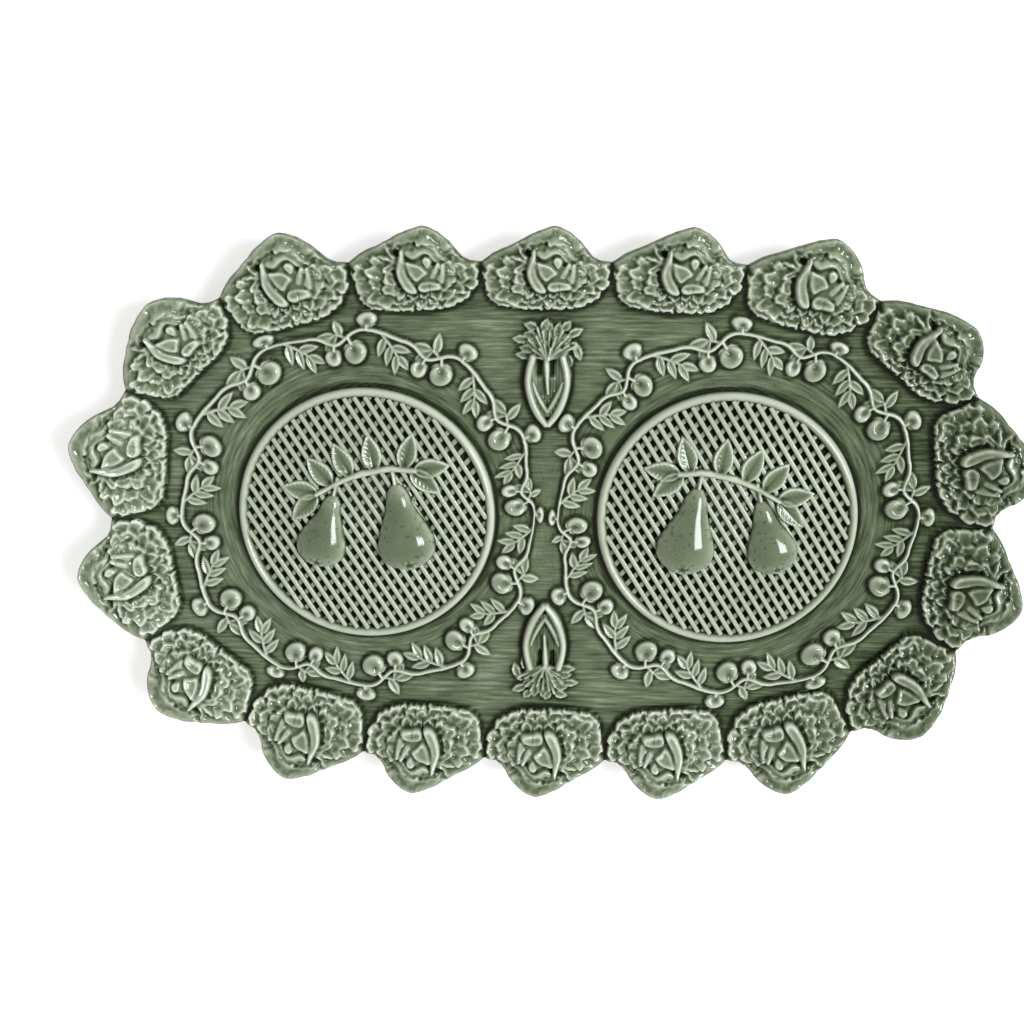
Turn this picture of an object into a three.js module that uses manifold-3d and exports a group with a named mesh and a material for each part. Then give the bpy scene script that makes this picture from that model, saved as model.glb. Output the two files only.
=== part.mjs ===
// Serving platter of green-glazed earthenware: a dished oval body on a foot ring, lettuce heads pressed
// on along the rim, two round basketwork medallions with fruit, each inside a wreath of fruiting vine,
// and a bunch of celery at the middle of each long side.
// Millimetres, +Z up, X along the length. The origin is the middle of the plane that the foot rests on.
import * as THREE from "three";
import { mergeVertices } from "three/addons/utils/BufferGeometryUtils.js";
import Module from "manifold-3d";

const wasm = await Module();
wasm.setup();

// Joints between the clay pieces
const SLIP = 0.3; // layer of slip under each piece that is pressed on
const NEIGHBOUR_GAP = 0.8; // between pieces that lie side by side

// Body and foot
const FOOT_HEIGHT = 5;
const FOOT_WIDTH = 6;
const FOOT_SETBACK = 12; // from the well's edge in to the foot
const FLOOR_THICKNESS = 6;
const LIP_THICKNESS = 4;
const COVE_RADIUS = 25; // hollow curve between the well and the rim
const RIM_SLOPE = 24; // degrees
const OVAL_POWER = 3; // an ellipse has 2, a rectangle has no limit

// Lettuce heads along the rim
const HEAD_COUNT = 18;
const HEAD_DEPTH = 19; // from the heart in to the well's edge
const HEAD_HEIGHT = 10;
const HEAD_SPOKES = 20;
const PETAL_SPOKES = 4; // a groove parts the petals at every fourth spoke
const HEAD_SQUARENESS = 0.45; // 1 is oval in plan, 0 is square
// Radii of the whorls of leaves, evenly spaced round the heart, from the clockwise side past the lip's point
const MIDDLE_WHORL = [19.6, 15.6, 13.2, 13.2, 13, 16.4, 21.6, 22.2, 17.6, 14, 14.8, 19.6];
const UPPER_WHORL = [15.4, 13.2, 10.6, 10.2, 11, 14.6, 15.6, 14.2, 13, 11.2, 11.4, 13.6];
const PETAL_RING = [8.8];
const HEART_RISE = 0.9; // the heart and each layer of leaves, as shares of the head's height
const HEAD_LAYERS = [
  { reach: 1, rise: 0 },
  { reach: 1, rise: 0.22, frill: 0.06 },
  { leaves: MIDDLE_WHORL, reach: 1.04, rise: 0.15 },
  { leaves: MIDDLE_WHORL, reach: 1, rise: 0.42, frill: 0.08 },
  { leaves: UPPER_WHORL, reach: 1.04, rise: 0.3 },
  { leaves: UPPER_WHORL, reach: 1, rise: 0.56, frill: 0.07 },
  { leaves: PETAL_RING, reach: 1.05, rise: 0.45 },
  { leaves: PETAL_RING, reach: 1, rise: 0.8, groove: 0.25 },
  { leaves: PETAL_RING, reach: 0.6, rise: 0.84, groove: 0.25 },
  { leaves: PETAL_RING, reach: 0.42, rise: 0.66 },
];
const LIP_POINT = 18; // from the heart line out to the lip's point behind each head
const LIP_NOTCH = 3.5; // from the heart line out to the notch between two heads
const POINT_SKEW = -0.06; // the point's place off the head's middle, as a share of the pitch
const LIP_BULGE = 0.85; // below 1 the lip's slopes bulge outwards
const LIP_MARGIN = 0.5; // bare lip that shows outside a head

// Medallions: basketwork inside a bead
const MEDALLION_RADIUS = 55;
const MEDALLION_SIDES = 40;
const BEAD_WIDTH = 4.6;
const BEAD_HEIGHT = 4.8;
const BEAD_STEPS = 4;
const GROUND_THICKNESS = 1;
const STRAP_THICKNESS = 1.3;
const HOOP_WIDTH = 1.2; // thin hoop that the upper straps end in
const OVER_PITCH = 3.9;
const OVER_WIDTH = 2.1;
const OVER_ANGLE = 122; // degrees from X
const UNDER_PITCH = 4.8;
const UNDER_WIDTH = 2.4;
const UNDER_ANGLE = 46;

// Fruit on the medallions
const PEAR_LENGTH = 38;
const PEAR_WIDTH = 25;
const PEAR_HEIGHT = 7.5;
const SMALL_PEAR = 0.86; // the second pear's share of the first
const TWIG_RADIUS = 1.5;
const PEAR_STALK = 7; // from a pear's narrow end up to the twig
const PEAR_LEAF_LENGTH = 16;
const PEAR_LEAF_WIDTH = 8.5;
const PEAR_LEAF_HEIGHT = 3;

// Wreath of vine round each medallion
const VINE_SPRIGS = 12;
const VINE_END_OFFSET = 18.9; // from the bead out to the middle of the stem, along the platter
const VINE_SIDE_OFFSET = 21.2; // and across it
const VINE_POWER = 2.15; // the wreath is fuller than an ellipse, which has 2
const VINE_SHIFT = 3.9; // the wreath's middle lies this far outside the medallion's
const VINE_CENTRE_GAP = 6.3; // from the wreath to the platter's middle
const VINE_WAVE = 2.6; // the stem waves once to a sprig
const VINE_RIPPLE = 1.2; // and ripples twice
const VINE_DRIFT = [0, 0, -3, 0, -2, -1, -1, -2, 5, 6, 6.5, 7]; // each sprig's shift clockwise
const STEM_RADIUS = 1;
const STALK_RADIUS = 0.7;
const FRUIT_RADIUS = 4.7;
const FRUIT_HEIGHT = 3.8;
const FRUIT_STALK = 3;
const BUD_RADIUS = 3.2;
const BUD_STALK = 1.6;
const LEAF_STALK = 7; // of the leaf towards the bead
const LEAFLET_LENGTH = 6.8;
const LEAFLET_HEIGHT = 1.8;

// Celery bunches
const CELERY_LENGTH = 31; // stalks
const CELERY_WIDTH = 17;
const CELERY_HEIGHT = 4.5;
const CELERY_LEAF_LENGTH = 13;
const CELERY_LEAF_WIDTH = 6;
const CELERY_LEAVES = 7;
const CELERY_SPREAD = 150; // degrees that the leaves fan over
const CELERY_SETBACK = 4; // from the well's edge in to the leaves

// Room in the well outside the wreaths' stems
const END_ROOM = 7.2;
const SIDE_ROOM = 10.8;

const TURN = 2 * Math.PI;
const MERGE_DISTANCE = 1e-4;
const DOME_CORNERS = 6;
const ROOM_STEP = 0.1;
const { degToRad } = THREE.MathUtils;

// Finishes
const glazeGround = new THREE.MeshStandardMaterial({ color: 0x6c785d, roughness: 0.2, metalness: 0 });
const glazeLettuce = new THREE.MeshStandardMaterial({ color: 0x7f8a72, roughness: 0.22, metalness: 0 });
const glazeRelief = new THREE.MeshStandardMaterial({ color: 0x9aa48a, roughness: 0.2, metalness: 0 });
const bareClay = new THREE.MeshStandardMaterial({ color: 0xc4b193, roughness: 0.85, metalness: 0 });

// A closed geometry as a solid that can be joined and cut
function solidFrom(geometry) {
  geometry.deleteAttribute("normal");
  geometry.deleteAttribute("uv");
  const merged = mergeVertices(geometry, MERGE_DISTANCE);
  const vertProperties = merged.attributes.position.array;
  const triVerts = Uint32Array.from(merged.index.array);
  return new wasm.Manifold(new wasm.Mesh({ numProp: 3, vertProperties, triVerts }));
}

function geometryFrom(solid) {
  const { vertProperties, triVerts } = solid.getMesh();
  const geometry = new THREE.BufferGeometry();
  geometry.setAttribute("position", new THREE.BufferAttribute(vertProperties, 3));
  geometry.setIndex(new THREE.BufferAttribute(triVerts, 1));
  return geometry;
}

function joined(geometries) {
  return geometries.map(solidFrom).reduce((whole, next) => whole.add(next));
}

// Faces between each loop of points and the next, which all run counter-clockwise seen from the last
function loftFaces(loops, faces) {
  const count = loops[0].length;
  for (let row = 0; row + 1 < loops.length; row += 1) {
    for (let step = 0; step < count; step += 1) {
      const next = (step + 1) % count;
      const near = [loops[row][step], loops[row][next]];
      const far = [loops[row + 1][step], loops[row + 1][next]];
      faces.push(near[0], near[1], far[1], near[0], far[1], far[0]);
    }
  }
}

function middleOf(loop) {
  const sum = loop.reduce((total, point) => total.add(point), new THREE.Vector3());
  return sum.divideScalar(loop.length);
}

// A closed skin over loops of points, with each end drawn together to one point
function closedLoft(loops, start = middleOf(loops[0]), end = middleOf(loops.at(-1))) {
  const faces = [];
  loftFaces(loops, faces);
  loops[0].forEach((point, step, loop) => faces.push(start, loop[(step + 1) % loop.length], point));
  loops.at(-1).forEach((point, step, loop) => faces.push(end, point, loop[(step + 1) % loop.length]));
  return mergeVertices(new THREE.BufferGeometry().setFromPoints(faces), MERGE_DISTANCE);
}

// A ring over loops of points whose last loop joins the first
function ringLoft(loops) {
  const faces = [];
  loftFaces([...loops, loops[0]], faces);
  return mergeVertices(new THREE.BufferGeometry().setFromPoints(faces), MERGE_DISTANCE);
}

// A flat-backed ridge along a curve in the XY plane
function ridge(points, halfWidth, height, steps) {
  const curve = new THREE.SplineCurve(points);
  const loops = Array.from({ length: steps + 1 }, (_, step) => {
    const { x, y } = curve.getPoint(step / steps);
    const heading = curve.getTangent(step / steps);
    const section = [[-halfWidth, 0], [halfWidth, 0], [0, height]];
    return section.map(([left, z]) => new THREE.Vector3(x - left * heading.y, y + left * heading.x, z));
  });
  return closedLoft(loops);
}

// A flat-backed mound over an outline that runs counter-clockwise, with its top over the origin
function mound(outline, height) {
  const loop = outline.map(([x, y]) => new THREE.Vector3(x, y, 0));
  return closedLoft([loop], new THREE.Vector3(), new THREE.Vector3(0, 0, height));
}

// A pointed leaf with a raised middle, from its base at a point in the XY plane, along a direction
function leaf(base, direction, length, width, height) {
  const shoulder = 0.15 * length;
  const blade = mound([
    [-length / 2, 0], [-shoulder, -width / 2], [shoulder, -width / 2],
    [length / 2, 0], [shoulder, width / 2], [-shoulder, width / 2],
  ], height);
  return blade.translate(length / 2, 0, 0).rotateZ(direction).translate(base.x, base.y, 0);
}

// A flat-backed round fruit
function dome(centre, radius, height) {
  const circle = (share, z) => Array.from({ length: DOME_CORNERS }, (_, corner) => {
    const turn = (TURN * corner) / DOME_CORNERS;
    return new THREE.Vector3(share * radius * Math.cos(turn), share * radius * Math.sin(turn), z);
  });
  const top = new THREE.Vector3(0, 0, height);
  const ball = closedLoft([circle(1, 0), circle(0.8, 0.7 * height)], new THREE.Vector3(), top);
  return ball.translate(centre.x, centre.y, 0);
}

// A flat-backed body along +Y whose sections are half round
function halfRoundLoft(outline, height, sections) {
  const loops = outline.getPoints(sections).map(({ x: along, y: halfWidth }) => {
    const widest = Math.max(...outline.points.map((point) => point.y));
    const rise = (height * halfWidth) / widest;
    const steps = [0, 1, 2, 3, 4, 5, 6].map((step) => Math.PI * (1 - step / 6));
    return steps.map((turn) => new THREE.Vector3(
      halfWidth * Math.cos(turn), along, rise * Math.sin(turn)));
  });
  return closedLoft(loops);
}

// One sprig of the vine, laid out straight: X clockwise along the wreath, Y outwards, the back at z = 0
const wreathLength = MEDALLION_RADIUS + VINE_END_OFFSET;
const wreathWidth = MEDALLION_RADIUS + VINE_SIDE_OFFSET;
const sprigLength = (TURN * wreathWidth) / VINE_SPRIGS;

// The stem at a place along the sprig, from -0.5 to 0.5
function stemPoint(place) {
  const wave = VINE_WAVE * Math.cos(TURN * (place - 0.08));
  const ripple = VINE_RIPPLE * Math.cos(2 * TURN * (place + 0.08));
  return new THREE.Vector2(place * sprigLength, wave + ripple);
}

// The point at a distance and a direction in degrees from another point
function reach(from, direction, distance) {
  const offset = new THREE.Vector2(distance, 0).rotateAround(new THREE.Vector2(), degToRad(direction));
  return offset.add(from);
}

// A stalk that leaves the stem at a place
function stalk(place, direction, length) {
  const base = stemPoint(place);
  return ridge([base, reach(base, direction, length)], STALK_RADIUS, 1.6 * STALK_RADIUS, 1);
}

// A leaf of several leaflets whose stalk leaves the stem at a place. Its corners are turns from the stalk in
// degrees and reaches as shares of a leaflet
function spray(place, direction, length, corners) {
  const fork = reach(stemPoint(place), direction, length);
  const outline = corners.map(([turn, share]) => {
    return reach(new THREE.Vector2(), direction + turn, share * LEAFLET_LENGTH).toArray();
  });
  return mound(outline, LEAFLET_HEIGHT).translate(fork.x, fork.y, 0);
}

// A round fruit on a stalk
function hangingFruit(place, direction, length, radius, height) {
  const centre = reach(stemPoint(place), direction, length + radius);
  return [stalk(place, direction, length + radius / 2), dome(centre, radius, height)];
}

const FIVE_LEAFLETS = [
  [-8, 1.45], [20, 0.4], [50, 1.15], [80, 0.3], [105, 1.1], [150, 0.25],
  [180, 1.1], [-150, 0.25], [-115, 1.05], [-85, 0.3], [-50, 1.2], [-28, 0.4],
];
const THREE_LEAFLETS = [
  [20, 1.2], [48, 0.3], [75, 1.1], [130, 0.25], [180, 0.9], [-140, 0.25], [-95, 1.2], [-40, 0.3],
];

function vineSprig() {
  const half = 0.5 - NEIGHBOUR_GAP / (2 * sprigLength);
  const places = [-1, -0.75, -0.5, -0.25, 0, 0.25, 0.5, 0.75, 1];
  const stem = ridge(places.map((place) => stemPoint(place * half)), STEM_RADIUS, 1.6 * STEM_RADIUS, 8);
  return geometryFrom(joined([
    stem,
    ...hangingFruit(-0.215, -63, FRUIT_STALK, FRUIT_RADIUS, FRUIT_HEIGHT),
    ...hangingFruit(-0.36, -102, 0.7 * FRUIT_STALK, 0.78 * FRUIT_RADIUS, 0.82 * FRUIT_HEIGHT),
    ...hangingFruit(-0.025, 90, BUD_STALK, BUD_RADIUS, 0.7 * FRUIT_HEIGHT),
    spray(0.116, -58, LEAF_STALK, FIVE_LEAFLETS),
    spray(-0.228, 143, 0.7 * LEAF_STALK, THREE_LEAFLETS),
  ]));
}

const sprigShape = vineSprig();
sprigShape.computeBoundingBox();
const sprigReachOut = sprigShape.boundingBox.max.y;
const sprigReachIn = -sprigShape.boundingBox.min.y;

// Plan of the platter, worked out from the middle to the rim
const medallionX = wreathLength - VINE_SHIFT + VINE_CENTRE_GAP;
const wreathX = medallionX + VINE_SHIFT;
const wellLength = wreathX + wreathLength + END_ROOM;
const wellWidth = wreathWidth + SIDE_ROOM;
const heartLength = wellLength + HEAD_DEPTH;
const heartWidth = wellWidth + HEAD_DEPTH;
const wellZ = FOOT_HEIGHT + SLIP + FLOOR_THICKNESS;

// The heart line is an oval through the heads' middles, from the middle of the far side, counter-clockwise
const signedPower = (value, power) => Math.sign(value) * Math.abs(value) ** power;
const LINE_STEPS = 4000;
const linePoints = Array.from({ length: LINE_STEPS + 1 }, (_, step) => {
  const turn = (TURN * step) / LINE_STEPS;
  return new THREE.Vector2(
    -heartLength * signedPower(Math.sin(turn), 2 / OVAL_POWER),
    heartWidth * signedPower(Math.cos(turn), 2 / OVAL_POWER));
});
const lineDistance = [0];
linePoints.slice(1).forEach((point, step) => {
  lineDistance.push(lineDistance[step] + point.distanceTo(linePoints[step]));
});
const headPitch = lineDistance.at(-1) / HEAD_COUNT;

// The point of the heart line at a distance along it, moved out square to the line
function planPoint(distance, out) {
  const whole = lineDistance.at(-1);
  const along = ((distance % whole) + whole) % whole;
  const after = Math.max(1, lineDistance.findIndex((value) => value >= along));
  const share = (along - lineDistance[after - 1]) / (lineDistance[after] - lineDistance[after - 1]);
  const point = linePoints[after - 1].clone().lerp(linePoints[after], share);
  const square = new THREE.Vector2(
    signedPower(point.x / heartLength, OVAL_POWER - 1) / heartLength,
    signedPower(point.y / heartWidth, OVAL_POWER - 1) / heartWidth).normalize();
  return point.addScaledVector(square, out);
}

// Height of the rim's upper face over the well: flat, then a hollow curve, then a straight slope
const coveRun = COVE_RADIUS * Math.sin(degToRad(RIM_SLOPE));

function rimRise(out) {
  const run = out + HEAD_DEPTH;
  if (run <= 0) return 0;
  const curved = Math.min(run, coveRun);
  const curve = COVE_RADIUS - Math.sqrt(COVE_RADIUS ** 2 - curved ** 2);
  return curve + (run - curved) * Math.tan(degToRad(RIM_SLOPE));
}

function rimPoint(distance, out, height) {
  const { x, y } = planPoint(distance, out);
  return new THREE.Vector3(x, y, wellZ + rimRise(out) + height);
}

// How far the lip stands out from the heart line at a place across a head, from -0.5 to 0.5
function lipReach(place) {
  const rising = place < POINT_SKEW;
  const share = rising ? (place + 0.5) / (0.5 + POINT_SKEW) : (0.5 - place) / (0.5 - POINT_SKEW);
  return LIP_NOTCH + (LIP_POINT - LIP_NOTCH) * Math.max(0, share) ** LIP_BULGE;
}

// Body: a dished oval with a lip that runs out to a point behind each head
function bodyGeometry() {
  const places = [-0.5, -0.28, POINT_SKEW, 0.14, 0.32];
  const stations = [];
  for (let head = 0; head < HEAD_COUNT; head += 1) {
    places.forEach((place) => stations.push({ distance: (head + place) * headPitch, place }));
  }
  const loop = (outAt, sink) => stations.map(({ distance, place }) => {
    return rimPoint(distance, outAt(place), -sink);
  });
  const wellEdge = () => -HEAD_DEPTH;
  const coveMiddle = () => coveRun / 2 - HEAD_DEPTH;
  const coveEnd = () => coveRun - HEAD_DEPTH;
  const underside = new THREE.Vector3(0, 0, wellZ - FLOOR_THICKNESS);
  const well = new THREE.Vector3(0, 0, wellZ);
  return closedLoft([
    loop(wellEdge, FLOOR_THICKNESS),
    loop(coveEnd, FLOOR_THICKNESS),
    loop(lipReach, LIP_THICKNESS),
    loop(lipReach, 0),
    loop(coveEnd, 0),
    loop(coveMiddle, 0),
    loop(wellEdge, 0),
  ], underside, well);
}

function footGeometry() {
  const sides = 2 * HEAD_COUNT;
  const outside = -HEAD_DEPTH - FOOT_SETBACK;
  const loop = (out, z) => Array.from({ length: sides }, (_, side) => {
    const { x, y } = planPoint((lineDistance.at(-1) * side) / sides, out);
    return new THREE.Vector3(x, y, z);
  });
  return ringLoft([
    loop(outside - FOOT_WIDTH, 0),
    loop(outside, 0),
    loop(outside, FOOT_HEIGHT),
    loop(outside - FOOT_WIDTH, FOOT_HEIGHT),
  ]);
}

// A value in a direction, from values at even steps round a circle
function valueRound(values, direction) {
  const place = THREE.MathUtils.euclideanModulo(direction / TURN, 1) * values.length;
  const low = Math.floor(place) % values.length;
  return THREE.MathUtils.lerp(values[low], values[(low + 1) % values.length], place % 1);
}

// The edge of a head in a direction: across the head, and out towards the lip or in towards the well
const headHalfWidth = (headPitch - NEIGHBOUR_GAP) / 2;

function headEdge(turn) {
  const across = Math.cos(turn) * headHalfWidth;
  const upright = Math.sin(turn);
  const out = upright > 0 ? lipReach(across / headPitch) - LIP_MARGIN : -HEAD_DEPTH;
  return new THREE.Vector2(across, out * Math.abs(upright) ** HEAD_SQUARENESS);
}

// Lettuce head: whorls of frilled leaves and thick petals round a heart, laid on the slope of the rim
function headGeometry(heart) {
  const pointTurn = Math.acos((POINT_SKEW * headPitch) / headHalfWidth);
  const loops = HEAD_LAYERS.map(({ leaves, reach: share, rise, frill = 0, groove = 0 }) => {
    return Array.from({ length: HEAD_SPOKES }, (_, spoke) => {
      const turn = pointTurn - (TURN * spoke) / HEAD_SPOKES;
      const edge = leaves
        ? new THREE.Vector2(Math.cos(turn), Math.sin(turn)).multiplyScalar(valueRound(leaves, Math.PI - turn))
        : headEdge(turn);
      edge.multiplyScalar(share * (spoke % 2 ? 1 - frill : 1));
      const lift = spoke % PETAL_SPOKES ? rise : rise - groove;
      return rimPoint(heart + edge.x, edge.y, SLIP + HEAD_HEIGHT * lift);
    });
  });
  const back = rimPoint(heart, 0, SLIP);
  const bud = rimPoint(heart, 0, SLIP + HEAD_HEIGHT * HEART_RISE);
  return closedLoft(loops, back, bud);
}

// Bead: a half-round ring that frames the basketwork
const latticeRadius = MEDALLION_RADIUS - BEAD_WIDTH - SLIP;

function beadGeometry() {
  const middle = MEDALLION_RADIUS - BEAD_WIDTH / 2;
  const crown = Array.from({ length: BEAD_STEPS + 1 }, (_, step) => {
    const turn = (Math.PI * step) / BEAD_STEPS;
    return new THREE.Vector2(
      middle + (BEAD_WIDTH / 2) * Math.cos(turn), BEAD_HEIGHT * Math.sin(turn));
  });
  return new THREE.LatheGeometry([...crown, crown[0]], MEDALLION_SIDES).rotateX(Math.PI / 2);
}

// Middles of the straps that lie side by side across the medallion
function strapPlaces(pitch, width) {
  const most = Math.floor((latticeRadius - width) / pitch);
  return Array.from({ length: 2 * most + 1 }, (_, strap) => (strap - most) * pitch);
}

function latticeDisc(height) {
  const disc = new THREE.CylinderGeometry(latticeRadius, latticeRadius, height, MEDALLION_SIDES);
  return solidFrom(disc.rotateX(Math.PI / 2).translate(0, 0, height / 2));
}

// Lower layer of the basketwork: a thin ground with the under straps standing on it
function groundGeometry() {
  const top = GROUND_THICKNESS + STRAP_THICKNESS;
  const outline = [new THREE.Vector2(latticeRadius, 0), new THREE.Vector2(latticeRadius, GROUND_THICKNESS)];
  strapPlaces(UNDER_PITCH, UNDER_WIDTH).reverse().forEach((place) => {
    const right = place + UNDER_WIDTH / 2;
    const left = place - UNDER_WIDTH / 2;
    outline.push(new THREE.Vector2(right, GROUND_THICKNESS), new THREE.Vector2(right, top));
    outline.push(new THREE.Vector2(left, top), new THREE.Vector2(left, GROUND_THICKNESS));
  });
  outline.push(new THREE.Vector2(-latticeRadius, GROUND_THICKNESS), new THREE.Vector2(-latticeRadius, 0));
  const options = { depth: 2 * latticeRadius, bevelEnabled: false };
  const comb = new THREE.ExtrudeGeometry(new THREE.Shape(outline), options);
  comb.translate(0, 0, -latticeRadius).rotateX(Math.PI / 2);
  comb.rotateZ(degToRad(UNDER_ANGLE - 90));
  return geometryFrom(latticeDisc(top).intersect(solidFrom(comb)));
}

// Upper layer of the basketwork: the over straps, which end in a thin hoop
function strapGeometry() {
  const annulus = new THREE.Shape().absarc(0, 0, latticeRadius, 0, TURN);
  annulus.holes.push(new THREE.Path().absarc(0, 0, latticeRadius - HOOP_WIDTH, 0, TURN));
  const options = { depth: STRAP_THICKNESS, bevelEnabled: false, curveSegments: MEDALLION_SIDES / 2 };
  const straps = strapPlaces(OVER_PITCH, OVER_WIDTH).map((place) => {
    const strap = new THREE.BoxGeometry(2 * latticeRadius, OVER_WIDTH, STRAP_THICKNESS);
    return strap.translate(0, place, STRAP_THICKNESS / 2).rotateZ(degToRad(OVER_ANGLE));
  });
  const inside = joined(straps).intersect(latticeDisc(STRAP_THICKNESS));
  return geometryFrom(inside.add(solidFrom(new THREE.ExtrudeGeometry(annulus, options))));
}

// Fruit on a medallion, laid out for the right one, with places as shares of the basketwork's radius:
// each pear hangs from the twig by its narrow end
const largePear = { x: -0.25, y: 0.28, tilt: -10, share: 1 };
const smallPear = { x: 0.27, y: 0.18, tilt: 15, share: SMALL_PEAR };
const TWIG_LINE = [[-0.42, 0.4], [-0.18, 0.41], [0.14, 0.33], [0.42, 0.18]];
const TWIG_LEAVES = [
  [-0.4, 0.4, 172], [-0.32, 0.41, 105], [-0.08, 0.39, 80], [0.12, 0.34, 62],
  [0.28, 0.26, 48], [0.4, 0.19, 10], [0.41, 0.18, -45], [-0.38, 0.4, -142],
];

function pearTop({ x, y }, side) {
  return new THREE.Vector2(side * x, y).multiplyScalar(latticeRadius);
}

function pearGeometry(pear, side) {
  const outline = new THREE.SplineCurve([
    new THREE.Vector2(0, 0.1 * PEAR_WIDTH),
    new THREE.Vector2(0.28 * PEAR_LENGTH, 0.27 * PEAR_WIDTH),
    new THREE.Vector2(0.66 * PEAR_LENGTH, 0.5 * PEAR_WIDTH),
    new THREE.Vector2(0.92 * PEAR_LENGTH, 0.32 * PEAR_WIDTH),
    new THREE.Vector2(PEAR_LENGTH, 0.1 * PEAR_WIDTH),
  ]);
  const top = pearTop(pear, side);
  const fruit = halfRoundLoft(outline, PEAR_HEIGHT, 8).scale(pear.share, pear.share, pear.share);
  return fruit.rotateZ(degToRad(180 + side * pear.tilt)).translate(top.x, top.y, 0);
}

function twigGeometry(side) {
  const place = ([x, y]) => new THREE.Vector2(side * x, y).multiplyScalar(latticeRadius);
  const pieces = [ridge(TWIG_LINE.map(place), TWIG_RADIUS, 1.6 * TWIG_RADIUS, 6)];
  [largePear, smallPear].forEach((pear) => {
    const top = pearTop(pear, side);
    const low = reach(top, 90 + side * pear.tilt, NEIGHBOUR_GAP);
    const high = reach(top, 90 + side * pear.tilt, PEAR_STALK);
    pieces.push(ridge([low, high], 0.7 * TWIG_RADIUS, 1.3 * TWIG_RADIUS, 1));
  });
  TWIG_LEAVES.forEach(([x, y, turn]) => {
    const direction = degToRad(side > 0 ? turn : 180 - turn);
    pieces.push(leaf(place([x, y]), direction, PEAR_LEAF_LENGTH, PEAR_LEAF_WIDTH, PEAR_LEAF_HEIGHT));
  });
  return geometryFrom(joined(pieces));
}

// Wreath: the straight sprig bent round an oval, drawn in where the bead, a head, the celery or the other
// wreath is near
const celeryY = wellWidth - CELERY_SETBACK - CELERY_LENGTH - CELERY_LEAF_LENGTH;

function wreathReach(turn) {
  const along = Math.abs(Math.cos(turn) / wreathLength) ** VINE_POWER;
  const across = Math.abs(Math.sin(turn) / wreathWidth) ** VINE_POWER;
  return (along + across) ** (-1 / VINE_POWER);
}

function hasRoom(turn, distance) {
  const x = distance * Math.cos(turn) - wreathX;
  const y = Math.abs(distance * Math.sin(turn));
  const widened = THREE.MathUtils.clamp((y - celeryY + NEIGHBOUR_GAP) / (CELERY_LENGTH / 2), 0, 1);
  const inWell = Math.abs(x / wellLength) ** OVAL_POWER + (y / wellWidth) ** OVAL_POWER < 1;
  return inWell && x < (-widened * CELERY_WIDTH) / 2;
}

function wreathRoomOut(turn) {
  let room = sprigReachOut;
  while (!hasRoom(turn, wreathReach(turn) + room + NEIGHBOUR_GAP)) room -= ROOM_STEP;
  return room;
}

function wreathRoomIn(turn) {
  const x = wreathReach(turn) * Math.cos(turn) - VINE_SHIFT;
  const y = wreathReach(turn) * Math.sin(turn);
  return Math.min(sprigReachIn, Math.hypot(x, y) - MEDALLION_RADIUS - NEIGHBOUR_GAP);
}

function sprigGeometry(sprig) {
  const bent = sprigShape.clone();
  const position = bent.getAttribute("position");
  for (let index = 0; index < position.count; index += 1) {
    const y = position.getY(index);
    const place = sprig + position.getX(index) / sprigLength;
    const drift = valueRound(VINE_DRIFT, (TURN * place) / VINE_SPRIGS) / sprigLength;
    const turn = (-TURN * (place + drift)) / VINE_SPRIGS;
    const drawnIn = y > 0 ? wreathRoomOut(turn) / sprigReachOut : wreathRoomIn(turn) / sprigReachIn;
    const radius = wreathReach(turn) + y * drawnIn;
    position.setXY(index, radius * Math.cos(turn), radius * Math.sin(turn));
  }
  return bent;
}

// Celery: a hollow bunch of stalks with its point towards the middle and its leaves towards the rim
function celeryGeometry() {
  const outline = new THREE.SplineCurve([
    new THREE.Vector2(0, 0.06 * CELERY_WIDTH),
    new THREE.Vector2(0.3 * CELERY_LENGTH, 0.34 * CELERY_WIDTH),
    new THREE.Vector2(0.68 * CELERY_LENGTH, 0.5 * CELERY_WIDTH),
    new THREE.Vector2(CELERY_LENGTH, 0.36 * CELERY_WIDTH),
  ]);
  const scoop = new THREE.SphereGeometry(1, 8, 4).rotateX(Math.PI / 2);
  scoop.scale(0.3 * CELERY_WIDTH, 0.32 * CELERY_LENGTH, 0.6 * CELERY_HEIGHT);
  scoop.translate(0, 0.62 * CELERY_LENGTH, CELERY_HEIGHT);
  const crown = new THREE.Vector2(0, CELERY_LENGTH - CELERY_LEAF_WIDTH / 2);
  const leaves = Array.from({ length: CELERY_LEAVES }, (_, index) => {
    const turn = 90 + CELERY_SPREAD * (index / (CELERY_LEAVES - 1) - 0.5);
    const length = CELERY_LEAF_LENGTH + CELERY_LEAF_WIDTH / 2;
    return leaf(crown, degToRad(turn), length, CELERY_LEAF_WIDTH, 0.8 * CELERY_HEIGHT);
  });
  const stalks = solidFrom(halfRoundLoft(outline, CELERY_HEIGHT, 6)).subtract(solidFrom(scoop));
  return geometryFrom(stalks.add(joined(leaves)));
}

function named(name, geometry, material) {
  const mesh = new THREE.Mesh(geometry, material);
  mesh.name = name;
  return mesh;
}

const twoDigits = (number) => String(number).padStart(2, "0");

// One medallion with its fruit, at its place on the well
function medallionGroup(label, side) {
  const group = new THREE.Group();
  group.position.set(side * medallionX, 0, wellZ + SLIP);
  const ground = named(`basket_ground_${label}`, groundGeometry(), glazeRelief);
  const straps = named(`basket_straps_${label}`, strapGeometry(), glazeRelief);
  straps.position.z = GROUND_THICKNESS + STRAP_THICKNESS + SLIP;
  const bead = named(`medallion_bead_${label}`, beadGeometry(), glazeRelief);
  const fruit = new THREE.Group();
  fruit.position.z = straps.position.z + STRAP_THICKNESS + SLIP;
  fruit.add(named(`pear_large_${label}`, pearGeometry(largePear, side), glazeRelief));
  fruit.add(named(`pear_small_${label}`, pearGeometry(smallPear, side), glazeRelief));
  fruit.add(named(`pear_twig_${label}`, twigGeometry(side), glazeRelief));
  group.add(ground, straps, bead, fruit);
  return group;
}

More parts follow.
